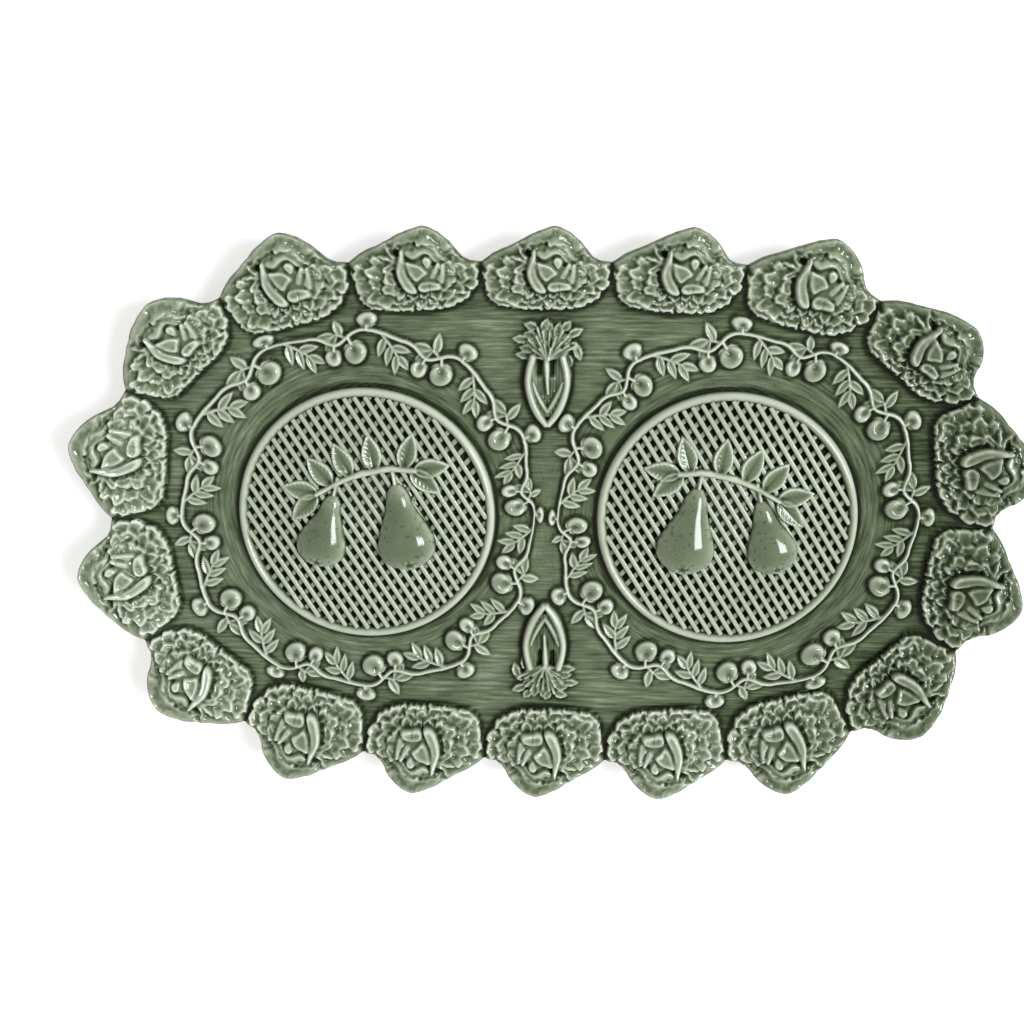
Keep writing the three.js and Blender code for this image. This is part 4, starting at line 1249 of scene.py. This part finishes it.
def drawn_round(points, sprig):
    """A straight sprig bent round the left wreath and drawn in where there is little room."""
    place = sprig + points[:, 0] / sprig_length
    drift = np.interp(np.mod(place, VINE_SPRIGS), np.arange(VINE_SPRIGS + 1), VINE_DRIFT) / sprig_length
    turn = -TURN * (place + drift) / VINE_SPRIGS
    stem = wreath_reach(turn)
    room_out = np.interp(turn, room_turns, room_table)
    room_in = np.hypot(stem * np.cos(turn) - VINE_SHIFT, stem * np.sin(turn)) - medallion_radius - VINE_GAP
    room = np.where(points[:, 1] > 0, room_out / sprig_out, room_in / sprig_in)
    radius = stem + points[:, 1] * np.minimum(room, 1)
    level = points[:, 2] + well_z - PRESSED_IN
    return np.column_stack([radius * np.cos(turn) - wreath_x, radius * np.sin(turn), level])


for label, half_turn in (("left", 1), ("right", -1)):
    for sprig in range(VINE_SPRIGS):
        name = f"vine_sprig_{label}_{sprig + 1:02d}"
        piece = copy_piece(flat_sprig, f"{name}_glazed")
        write_points(piece, drawn_round(sprig_points, sprig) * (half_turn, half_turn, 1))
        finish_piece(piece, "glaze_relief", name)
discard(flat_sprig)
print("Sprigs:", 2 * VINE_SPRIGS)

# %% [markdown]
# ## Celery
#
# A bunch of celery fills the space between the wreaths on each side: thick outer stalks that meet in a
# point, finer stalks in the hollow between them, and a fan of toothed leaves. Each stalk and leaf could be
# a mesh of its own, but the real bunch comes out of one mould, so here too it is one lifted grid.

# %% Stalks of the celery
# Points along each stalk, X to both sides, and half widths
OUTER_STALK = [(0.6, 1.2), (3.4, 5.0), (6.0, 10.4), (7.8, 17.2), (7.6, 23.0), (6.2, 29.0)]
OUTER_STALK_WIDTHS = [1.5, 1.9, 1.8, 1.6, 1.6, 1.7]
INNER_STALK = [(0, 6.4), (2.2, 9.6), (4.6, 14.2), (6.0, 18.5)]
INNER_STALK_WIDTHS = [1.0, 1.1, 1.0, 0.6]
MIDDLE_STALK = [(0.2, 14), (-0.2, 20), (-0.6, 29)]
MIDDLE_STALK_WIDTHS = [0.5, 1.1, 1.4]
SHEATH = [(0, 5.6), (4.6, 12), (6.2, 18), (5.4, 29), (-5.4, 29), (-6.2, 18), (-4.6, 12)]
SHEATH_HEIGHT, SHEATH_MARGIN, SHEATH_END = 2.9, 1.5, 30.0
SHEATH_DIP, DIP_RUN = 1.1, 3.0  # it dips towards its middle
RIB_HEIGHT, RIB_PITCH = 0.22, 1.2
SLOT_DEPTH, SLOT_FROM = 1.9, (20.0, 23.0)  # slots beside the middle stalk
SLOT_SHIFT, SLOT_SIDE, SLOT_WIDTH = 0.8, 2.7, 1.1


def stalk_forms(x, y):
    hollow = inside_distance(x, y, SHEATH)
    ribs = RIB_HEIGHT * np.sin(TURN * x / RIB_PITCH)
    slots = SLOT_DEPTH * fade(*SLOT_FROM, y) * bell(np.abs(x + SLOT_SHIFT) - SLOT_SIDE, SLOT_WIDTH)
    sheath = SHEATH_HEIGHT - SHEATH_DIP * fade(0, DIP_RUN, hollow) + ribs - slots
    forms = [np.where((hollow > -SHEATH_MARGIN) & (y < SHEATH_END), sheath, BELOW)]
    for side in (-1, 1):
        outer = [(side * across, up) for across, up in OUTER_STALK]
        inner = [(side * across, up) for across, up in INNER_STALK]
        forms.append(stem_form(x, y, outer, OUTER_STALK_WIDTHS, base=1.6, crown=2.8))
        forms.append(stem_form(x, y, inner, INNER_STALK_WIDTHS, base=2.6, crown=1.2))
    forms.append(stem_form(x, y, MIDDLE_STALK, MIDDLE_STALK_WIDTHS, base=1.8, crown=2.2))
    return forms


print("Celery's foot from the middle of the platter, mm:", round(celery_y, 1))

# %% Leaves of the celery
CELERY_LEAF = {"width": 4.2, "teeth": 3}
LEAF_ROOT = np.array([0, 28.0])
LEAF_STALK_WIDTHS = [0.9, 0.7, 0.7]
LEAF_STALK_BASE = 1.2
FAN = [(-6.6, 28.6), (-9.0, 33.0), (-7.2, 38.6), (-2.0, 41.2), (3.4, 40.4), (8.4, 38.0), (9.0, 32.6),
       (6.2, 28.8)]
FAN_HEIGHT, FAN_SWELL, SWELL_RUN = 1.6, 0.7, 2.5
FAN_FOOT, FAN_RIB, FAN_RIBS = 24.0, 0.35, 44  # its ribs spread from here; their height and number
# Leaves of the tuft: where each starts, its direction in degrees, its length and its height
CELERY_TUFT = [
    (-4.4, 41.0, 163, 6.2, 3.2), (-2.3, 39.8, 68, 5.6, 3.4), (-4.9, 37.8, 170, 5.6, 3.8),
    (-8.0, 36.2, 177, 7.2, 3.0), (-6.4, 29.6, 176, 7.4, 3.2), (-6.2, 32.2, 172, 6.0, 3.6),
    (-3.6, 32.8, 155, 5.8, 4.2), (3.2, 37.6, 75, 6.2, 3.6), (8.2, 38.0, 24, 6.8, 3.2),
    (8.4, 34.2, -12, 5.2, 3.4), (11.4, 33.8, -72, 6.6, 3.0), (7.4, 30.6, -70, 6.6, 3.2),
    (5.0, 32.6, 72, 5.6, 4.2), (1.0, 33.0, 95, 5.4, 4.4), (-1.6, 34.6, 118, 5.6, 4.0),
    (6.0, 40.0, 52, 5.2, 3.0), (0.6, 39.2, 100, 5.2, 3.2), (5.4, 35.4, 30, 5.6, 3.8),
    (-4.0, 35.8, 140, 5.6, 3.8), (2.4, 35.2, 60, 5.4, 4.2),
]


def tuft_forms(x, y):
    inside = inside_distance(x, y, FAN)
    spread = np.arctan2(x, y - FAN_FOOT)
    fan = FAN_HEIGHT + FAN_SWELL * fade(0, SWELL_RUN, inside) + FAN_RIB * np.sin(FAN_RIBS * spread)
    forms = [np.where(inside > 0, fan, BELOW)]
    for left, up, direction, length, height in CELERY_TUFT:
        foot = np.array([left, up])
        forms.append(stalk_form(x, y, LEAF_ROOT, foot, LEAF_STALK_WIDTHS, LEAF_STALK_BASE,
                                height - LEAF_STALK_BASE))
        forms.append(leaf_form(x, y, foot, direction, length, height=height, **CELERY_LEAF))
    return forms


print("Leaves to a bunch:", len(CELERY_TUFT))

# %% Two bunches of celery
CELERY_BOX = (-20, 20, -2, 47)
CELERY_CELL = 0.26


def celery_height(x, y):
    return np.maximum.reduce(stalk_forms(x, y) + tuft_forms(x, y))


flat_celery = lifted("flat_celery", *CELERY_BOX, CELERY_CELL, celery_height)
celery_points = read_points(flat_celery) + (0, celery_y, well_z - PRESSED_IN)
for label, half_turn in (("far", 1), ("near", -1)):
    piece = copy_piece(flat_celery, f"celery_{label}_glazed")
    write_points(piece, celery_points * (half_turn, half_turn, 1))
    finish_piece(piece, "glaze_relief", f"celery_{label}")
discard(flat_celery)
print("Celery: 2 bunches of", len(piece.data.polygons), "faces")

# %% [markdown]
# ## Depth of the glaze and of the painted shade
#
# A translucent glaze runs off edges, where it stays thin and pale, and gathers in hollows, where it is deep
# and dark. The same light and dark also stand for painted highlight on the edges and painted shade in the
# hollows, and painted shade is further laid on the ground round the relief and at the right end. Plumb lines
# dropped on a fine raster give the height of the whole platter. Where a place lies under the average of its
# surroundings it is a hollow, and the glaze is deep and the painted shade dark there. Each point of each
# piece keeps that depth, with its painted shade and light, as an attribute for the material.

# %% Height of the platter on a raster
RASTER_STEP = 0.4
RASTER_TOP = 60.0
RASTER_MARGIN = 5
raster_x = np.arange(cad_low[0] / MM - RASTER_MARGIN, cad_high[0] / MM + RASTER_MARGIN, RASTER_STEP)
raster_y = np.arange(cad_low[1] / MM - RASTER_MARGIN, cad_high[1] / MM + RASTER_MARGIN, RASTER_STEP)
heights = np.zeros((len(raster_y), len(raster_x)))


def drop_plumb_lines(piece):
    """Raises the raster to the top of one piece."""
    points = read_points(piece)
    low = points.min(axis=0)
    high = points.max(axis=0)
    columns = np.flatnonzero((raster_x >= low[0]) & (raster_x <= high[0]))
    rows = np.flatnonzero((raster_y >= low[1]) & (raster_y <= high[1]))
    tree = BVHTree.FromObject(piece, bpy.context.evaluated_depsgraph_get())
    down = Vector((0, 0, -1))
    for row in rows:
        y = raster_y[row] * MM
        for column in columns:
            hit = tree.ray_cast((raster_x[column] * MM, y, RASTER_TOP * MM), down)[0]
            if hit and hit.z > heights[row, column] * MM:
                heights[row, column] = hit.z / MM


for piece in finished:
    if piece is not foot:
        drop_plumb_lines(piece)
print("Raster:", heights.shape, "highest, mm:", round(float(heights.max()), 2))

# %% Blurs of the raster
LEAST_COVER = 0.02  # keeps a division away from 0
covered = (heights > 0).astype(float)


def blurred(field, width):
    """A field blurred by a bell curve of the given width in millimetres."""
    rows = np.fft.fftfreq(field.shape[0])[:, None]
    columns = np.fft.rfftfreq(field.shape[1])[None, :]
    spread = width / RASTER_STEP
    curve = np.exp(-2 * (math.pi * spread) ** 2 * (rows**2 + columns**2))
    return np.fft.irfft2(np.fft.rfft2(field) * curve, s=field.shape)


def average_height(width):
    """The platter's height averaged over a width, without the empty space outside the lip."""
    return blurred(heights, width) / np.maximum(blurred(covered, width), LEAST_COVER)


print("Covered by the platter, cm2:", round(covered.sum() * RASTER_STEP**2 / 100))

# %% Glaze depth, painted highlight and painted shade from hollows
PLAIN_DEPTH = 0.5  # of the glaze on flat ground
SURFACE_BLUR = 0.3
FINE_HOLLOW, FINE_SHARE = 0.7, 0.75  # width in millimetres, depth for each millimetre of hollow
BROAD_HOLLOW, BROAD_SHARE = 2.2, 0.13
HALO_WIDTH, HALO_SHADE_SHARE = 1.0, 0.85  # painted shade on the ground round the relief, with glaze that gathers there
WIDE_HOLLOW, WIDE_SHADE_SHARE = 5.0, 0.05
# painted shade: the ground is darker near tall relief
LIP_COVER = (0.45, 0.75)  # cover over which the hollows fade out at the lip

inside_lip = fade(*LIP_COVER, blurred(covered, HALO_WIDTH))  # 0 outside, 1 inside
surface = average_height(SURFACE_BLUR)
# Pale on ridges and dark in hollows: glaze that runs thin and pools, and also painted highlight on the edges
# and painted shade in the hollows
hollows = FINE_SHARE * (average_height(FINE_HOLLOW) - surface)
hollows += BROAD_SHARE * (average_height(BROAD_HOLLOW) - surface)
glaze_depth = np.clip(PLAIN_DEPTH + hollows * inside_lip, 0, 1)
# Painted shade on the ground: a dark halo round the foot of the relief, and a broad darkening near tall
# relief
shade_halo = np.clip(average_height(HALO_WIDTH) - surface, 0, None)
shade = WIDE_SHADE_SHARE * (average_height(WIDE_HOLLOW) - surface)
ground_pool_and_shade = np.clip(PLAIN_DEPTH + (HALO_SHADE_SHARE * shade_halo + shade) * inside_lip, 0, 1)
print("Glaze depth from", round(float(glaze_depth.min()), 2), "to", round(float(glaze_depth.max()), 2))

# %% Depth and painted shade kept on each piece
DEEPER_GLAZE = {"medallion_bead": 0.12, "celery": 0.1, "pear_twig": 0.12, "pear_large": 0.2,
                "pear_small": 0.2}
PEAR_SPOTS = 0.16  # small dark spots
SPOT_SIZE, SPOT_SEED, SPOT_LEVEL = 1.0, 5, (0.8, 0.95)
FRUIT_CROWN, CROWN_LEVEL = 0.24, (2.3, 3.5)  # the fruit is darker on top than round its edge
RIGHT_END_SHADE, LEFT_END_LIGHT = 0.12, -0.04  # painted shade darkens the right end, and painted light lifts the left end
END_FROM = (60, 190)  # distance from the middle over which that sets in
HIDDEN_DEPTH = 3.0  # points this far under the top are on the underside
UNDER_POOL_AND_SHADE = ([0, 1.05, 1.5, 2.0, 2.3], [1.0, 1.0, 0.95, 0.62, 0.46])  # height over the well, and depth: the lower, the darker, from pooled glaze and painted shade
# painted shade on the straps: pale on top and darker down their sides, with glaze that runs off
OVER_POOL_AND_SHADE = ([2.0, 2.8, 3.4, 3.9], [0.95, 0.8, 0.5, 0.3])
LAST_CELL = 1.001  # a little over one step, so that the next point is still on the raster


def sampled(field, x, y):
    """Values of the raster between its points."""
    column = np.clip((x - raster_x[0]) / RASTER_STEP, 0, len(raster_x) - LAST_CELL)
    row = np.clip((y - raster_y[0]) / RASTER_STEP, 0, len(raster_y) - LAST_CELL)
    left = column.astype(int)
    low = row.astype(int)
    right = column - left
    up = row - low
    lower = field[low, left] * (1 - right) + field[low, left + 1] * right
    upper = field[low + 1, left] * (1 - right) + field[low + 1, left + 1] * right
    return lower * (1 - up) + upper * up


for piece in finished:
    x, y, z = read_points(piece).T
    depth = sampled(ground_pool_and_shade if piece is body else glaze_depth, x, y)
    # painted shade at the right end and painted light at the left end
    depth = depth + RIGHT_END_SHADE * fade(*END_FROM, x) + LEFT_END_LIGHT * fade(*END_FROM, -x)
    depth = np.where(z < sampled(surface, x, y) - HIDDEN_DEPTH, PLAIN_DEPTH, depth)
    for start, deeper in DEEPER_GLAZE.items():
        depth = depth + deeper * piece.name.startswith(start)
    if piece.name.startswith(("pear_large", "pear_small")):
        depth = depth + PEAR_SPOTS * fade(*SPOT_LEVEL, crumple(x, y, SPOT_SIZE, SPOT_SEED))
    if piece.name.startswith("vine_sprig"):
        depth = depth + FRUIT_CROWN * fade(*CROWN_LEVEL, z - well_z)
    # painted shade and pooled glaze on the basketwork, set by height over the well
    if piece.name.startswith("basket_ground"):
        depth = np.interp(z - well_z, *UNDER_POOL_AND_SHADE)
    if piece.name.startswith("basket_straps"):
        depth = np.interp(z - well_z, *OVER_POOL_AND_SHADE)
    attribute = piece.data.attributes.new("glaze_depth", "FLOAT", "POINT")
    attribute.data.foreach_set("value", depth)
print("Pieces that carry their glaze depth:", len(finished))

# %% [markdown]
# ## Finishes
#
# Shader maths is easier to read as Python than as a tangle of nodes. The small class below wraps a socket,
# so that an expression such as 1 - depth adds its Math node, and one method adds any other node.


# %% Shader maths
class Value:
    """One output socket of a shader node, with the operators that add Math nodes."""

    def __init__(self, tree, socket=None):
        self.tree = tree
        self.socket = socket

    def node(self, kind, settings=None, output=0, **sockets):
        """Adds a node: settings first, then sockets by name, with _ for a space, or by number as s0, s1."""
        made = self.tree.nodes.new(kind)
        for key, value in (settings or {}).items():
            if key == "stops":
                ramp = made.color_ramp
                while len(ramp.elements) < len(value):
                    ramp.elements.new(0.5)
                for element, (place, colour) in zip(ramp.elements, value):
                    element.position = place
                    element.color = colour
            else:
                setattr(made, key, value)
        for key, value in sockets.items():
            by_number = key[0] == "s" and key[1:].isdigit()
            target = made.inputs[int(key[1:]) if by_number else key.replace("_", " ")]
            if isinstance(value, Value):
                self.tree.links.new(value.socket, target)
            else:
                target.default_value = value
        return Value(self.tree, made.outputs[output] if len(made.outputs) else None)

    def math(self, operation, first, second=0.0):
        return self.node("ShaderNodeMath", {"operation": operation}, s0=first, s1=second)

    def __add__(self, other):
        return self.math("ADD", self, other)

    def __sub__(self, other):
        return self.math("SUBTRACT", self, other)

    def __rsub__(self, other):
        return self.math("SUBTRACT", other, self)

    def __mul__(self, other):
        return self.math("MULTIPLY", self, other)

    def __pow__(self, other):
        return self.math("POWER", self, other)

    def __abs__(self):
        return self.math("ABSOLUTE", self)

    __radd__ = __add__
    __rmul__ = __mul__


# %% Colours
# The screen's tone curve: straight up to its toe, and a power beyond
TOE, TOE_SLOPE = 0.04045, 12.92
CURVE_OFFSET, CURVE_POWER = 0.055, 2.4


def linear(red, green, blue):
    """A colour as the screen shows it, from 0 to 255, as the linear colour that a shader takes."""
    share = np.array([red, green, blue]) / 255
    curved = ((share + CURVE_OFFSET) / (1 + CURVE_OFFSET)) ** CURVE_POWER
    toned = np.where(share <= TOE, share / TOE_SLOPE, curved)
    return (*toned.tolist(), 1.0)


print("Half grey as a shader takes it:", round(linear(128, 128, 128)[0], 3))

# %% [markdown]
# ### Green glaze
#
# The glaze is grey-green, pale where it is thin and nearly black where it lies deep; the same scale also
# carries the painted highlight on edges and the painted shade in hollows, round the relief and at the right
# end. Brush strokes show in it on the open ground: straight along the platter in the middle and round the
# medallions. It is glossy, with a faint wave in its surface.

# %% Brush strokes
OBJECT_OUTPUT = 3  # of a Texture Coordinate node
STROKES_ALONG, STROKES_ACROSS = 55.0, 760.0  # marks to a metre
STROKES_ROUND = 4.0  # marks to a radian
STROKE_NOISE = {"Scale": 1.0, "Detail": 3.0, "Roughness": 0.6}
ROUND_TO, STRAIGHT_FROM = 1.15, 1.5  # in radii of the medallion


def object_place(start):
    return start.node("ShaderNodeTexCoord", output=OBJECT_OUTPUT)


def marks(start, along, across):
    place = start.node("ShaderNodeCombineXYZ", X=along, Y=across)
    return start.node("ShaderNodeTexNoise", {"noise_dimensions": "2D"}, Vector=place, **STROKE_NOISE)


def brush_strokes(start):
    """Long thin marks of the brush, from about -0.5 to 0.5: round each medallion, and straight beyond."""
    x = start.node("ShaderNodeSeparateXYZ", Vector=object_place(start))
    y = Value(start.tree, x.socket.node.outputs[1])
    side = abs(x) - medallion_x * MM
    radius = (side * side + y * y) ** 0.5
    turn = start.math("ARCTAN2", y, side)
    straight = marks(start, x * STROKES_ALONG, y * STROKES_ACROSS)
    rounded = marks(start, turn * STROKES_ROUND, radius * STROKES_ACROSS)
    reach = medallion_radius * MM
    beyond = start.node("ShaderNodeMapRange", {"interpolation_type": "SMOOTHSTEP"}, Value=radius,
                        From_Min=ROUND_TO * reach, From_Max=STRAIGHT_FROM * reach)
    return straight * beyond + rounded * (1 - beyond) - 0.5


print("Brush strokes turn straight by a radius, mm, of:", round(STRAIGHT_FROM * medallion_radius, 1))

# %% Glaze
GLAZE_STOPS = [
    (0.0, linear(224, 229, 213)),
    (0.25, linear(176, 184, 161)),
    (0.5, linear(112, 125, 97)),
    (0.75, linear(54, 65, 36)),
    (1.0, linear(12, 17, 4)),
]
FACTOR_OUTPUT = 2  # of an Attribute node
GLAZE_CLOUD = {"Scale": 55.0, "Detail": 3.0, "Roughness": 0.55}
GLAZE_SPECK, SPECK_SHARE = {"Scale": 900.0, "Detail": 2.0}, 0.06
GLAZE_WAVE = {"Scale": 120.0, "Detail": 2.0}
WAVE_BUMP = {"Strength": 0.12, "Distance": 0.0006}
GLAZE_ROUGHNESS, CLOUD_ROUGHNESS = 0.12, 0.1
GLAZE_IOR = 1.5


def new_material(name):
    material = bpy.data.materials.new(name)
    material.use_nodes = True
    material.node_tree.nodes.clear()
    return material, Value(material.node_tree)


def glaze(name, strokes, mottle, shift):
    """Green glaze: how strongly the brush and the mottling show, and how much deeper it lies in all."""
    material, start = new_material(name)
    place = object_place(start)
    # the attribute holds the glaze's depth together with painted shade and painted light
    depth = start.node("ShaderNodeAttribute", {"attribute_name": "glaze_depth"}, output=FACTOR_OUTPUT)
    cloud = start.node("ShaderNodeTexNoise", Vector=place, **GLAZE_CLOUD) - 0.5
    speck = start.node("ShaderNodeTexNoise", Vector=place, **GLAZE_SPECK) - 0.5
    depth = depth + mottle * cloud + SPECK_SHARE * speck + shift
    if strokes:
        depth = depth + strokes * brush_strokes(start)
    colour = start.node("ShaderNodeValToRGB", {"stops": GLAZE_STOPS}, Fac=depth)
    wave = start.node("ShaderNodeTexNoise", Vector=place, **GLAZE_WAVE)
    bump = start.node("ShaderNodeBump", Height=wave, **WAVE_BUMP)
    roughness = GLAZE_ROUGHNESS + CLOUD_ROUGHNESS * cloud
    shader = start.node("ShaderNodeBsdfPrincipled", Base_Color=colour, Roughness=roughness, Normal=bump,
                        IOR=GLAZE_IOR)
    start.node("ShaderNodeOutputMaterial", Surface=shader)
    return material


glaze_ground = glaze("glaze_ground", strokes=0.62, mottle=0.24, shift=0.02)
glaze_lettuce = glaze("glaze_lettuce", strokes=0.0, mottle=0.2, shift=-0.08)
glaze_relief = glaze("glaze_relief", strokes=0.0, mottle=0.16, shift=-0.14)
print("Glazes:", glaze_ground.name, glaze_lettuce.name, glaze_relief.name)

# %% [markdown]
# ### Bare clay
#
# The foot is wiped clean of glaze, so it shows the buff clay: rough, faintly speckled and darker where it
# has been handled.

# %% Bare clay
CLAY_STOPS = [(0.3, linear(176, 154, 122)), (0.7, linear(214, 196, 166))]
CLAY_GRAIN, GRAIN_SHARE = {"Scale": 700.0, "Detail": 4.0}, 0.4
CLAY_CLOUD, CLOUD_SHARE = {"Scale": 40.0, "Detail": 2.0}, 0.6
GRAIN_BUMP = {"Strength": 0.4, "Distance": 0.0003}
CLAY_ROUGHNESS = 0.85


def bare_clay_finish():
    material, start = new_material("bare_clay")
    place = object_place(start)
    grain = start.node("ShaderNodeTexNoise", Vector=place, **CLAY_GRAIN)
    cloud = start.node("ShaderNodeTexNoise", Vector=place, **CLAY_CLOUD)
    tone = CLOUD_SHARE * cloud + GRAIN_SHARE * grain
    colour = start.node("ShaderNodeValToRGB", {"stops": CLAY_STOPS}, Fac=tone)
    bump = start.node("ShaderNodeBump", Height=grain, **GRAIN_BUMP)
    shader = start.node("ShaderNodeBsdfPrincipled", Base_Color=colour, Roughness=CLAY_ROUGHNESS, Normal=bump)
    start.node("ShaderNodeOutputMaterial", Surface=shader)
    return material


bare_clay = bare_clay_finish()
for piece in finished:
    piece.data.materials.clear()
    if piece is foot:
        piece.data.materials.append(bare_clay)
    elif piece is body:
        piece.data.materials.append(glaze_ground)
    elif piece.name.startswith("lettuce"):
        piece.data.materials.append(glaze_lettuce)
    else:
        piece.data.materials.append(glaze_relief)
print("Finished pieces:", len(finished))

# %% [markdown]
# ## Floor and light
#
# The photograph has a plain white ground and one soft window to the right. A broad lamp stands for the
# window, a pale world fills the shadows, and the floor is a plain pale sheet.

# %% Floor
FLOOR_SIZE = 6.0
FLOOR_COLOUR = (0.9, 0.9, 0.9, 1.0)
FLOOR_ROUGHNESS = 0.9
FLOOR_GLOW = 0.6  # lifts the floor to white for the camera alone; shadows still show on it

deselect_all()
bpy.ops.mesh.primitive_plane_add(size=FLOOR_SIZE)
floor = bpy.context.object
floor.name = "floor"
floor_material, start = new_material("floor_white")
glow = start.node("ShaderNodeLightPath") * FLOOR_GLOW
glow_colour = start.node("ShaderNodeCombineColor", Red=glow, Green=glow, Blue=glow)
shader = start.node("ShaderNodeBsdfPrincipled", Base_Color=FLOOR_COLOUR, Roughness=FLOOR_ROUGHNESS,
                    Emission_Color=glow_colour, Emission_Strength=1.0)
start.node("ShaderNodeOutputMaterial", Surface=shader)
floor.data.materials.append(floor_material)
print("Floor, m:", FLOOR_SIZE)

# %% Lamp and world
WINDOW_PLACE = Vector((1.78, 0.2, 2.3))
WINDOW_WIDTH, WINDOW_HEIGHT = 1.0, 1.2
WINDOW_POWER = 72.0
WINDOW_COLOUR = (0.93, 0.98, 1.0)
ROOM_LIGHT = 0.35  # on the object; the camera sees the world at 1
ROOM_COLOUR = (1.0, 0.98, 0.92, 1.0)

deselect_all()
bpy.ops.object.light_add(type="AREA", location=WINDOW_PLACE)
window = bpy.context.object
window.name = "window_lamp"
window.data.shape = "RECTANGLE"
window.data.size = WINDOW_WIDTH
window.data.size_y = WINDOW_HEIGHT
window.data.energy = WINDOW_POWER
window.data.color = WINDOW_COLOUR
window.rotation_euler = (-WINDOW_PLACE).to_track_quat("-Z", "Y").to_euler()

world = bpy.data.worlds.new("pale_room")
bpy.context.scene.world = world
world.use_nodes = True
world.node_tree.nodes.clear()
start = Value(world.node_tree)
strength = ROOM_LIGHT + (1 - ROOM_LIGHT) * start.node("ShaderNodeLightPath")
background = start.node("ShaderNodeBackground", Color=ROOM_COLOUR, Strength=strength)
start.node("ShaderNodeOutputWorld", Surface=background)
bpy.context.scene.view_settings.view_transform = "Standard"
print("Lamp at, m:", [round(value, 2) for value in WINDOW_PLACE])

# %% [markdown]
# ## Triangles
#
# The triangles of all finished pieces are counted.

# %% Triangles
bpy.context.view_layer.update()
triangles = sum(len(polygon.vertices) - 2 for piece in finished for polygon in piece.data.polygons)
print("Triangles:", triangles)
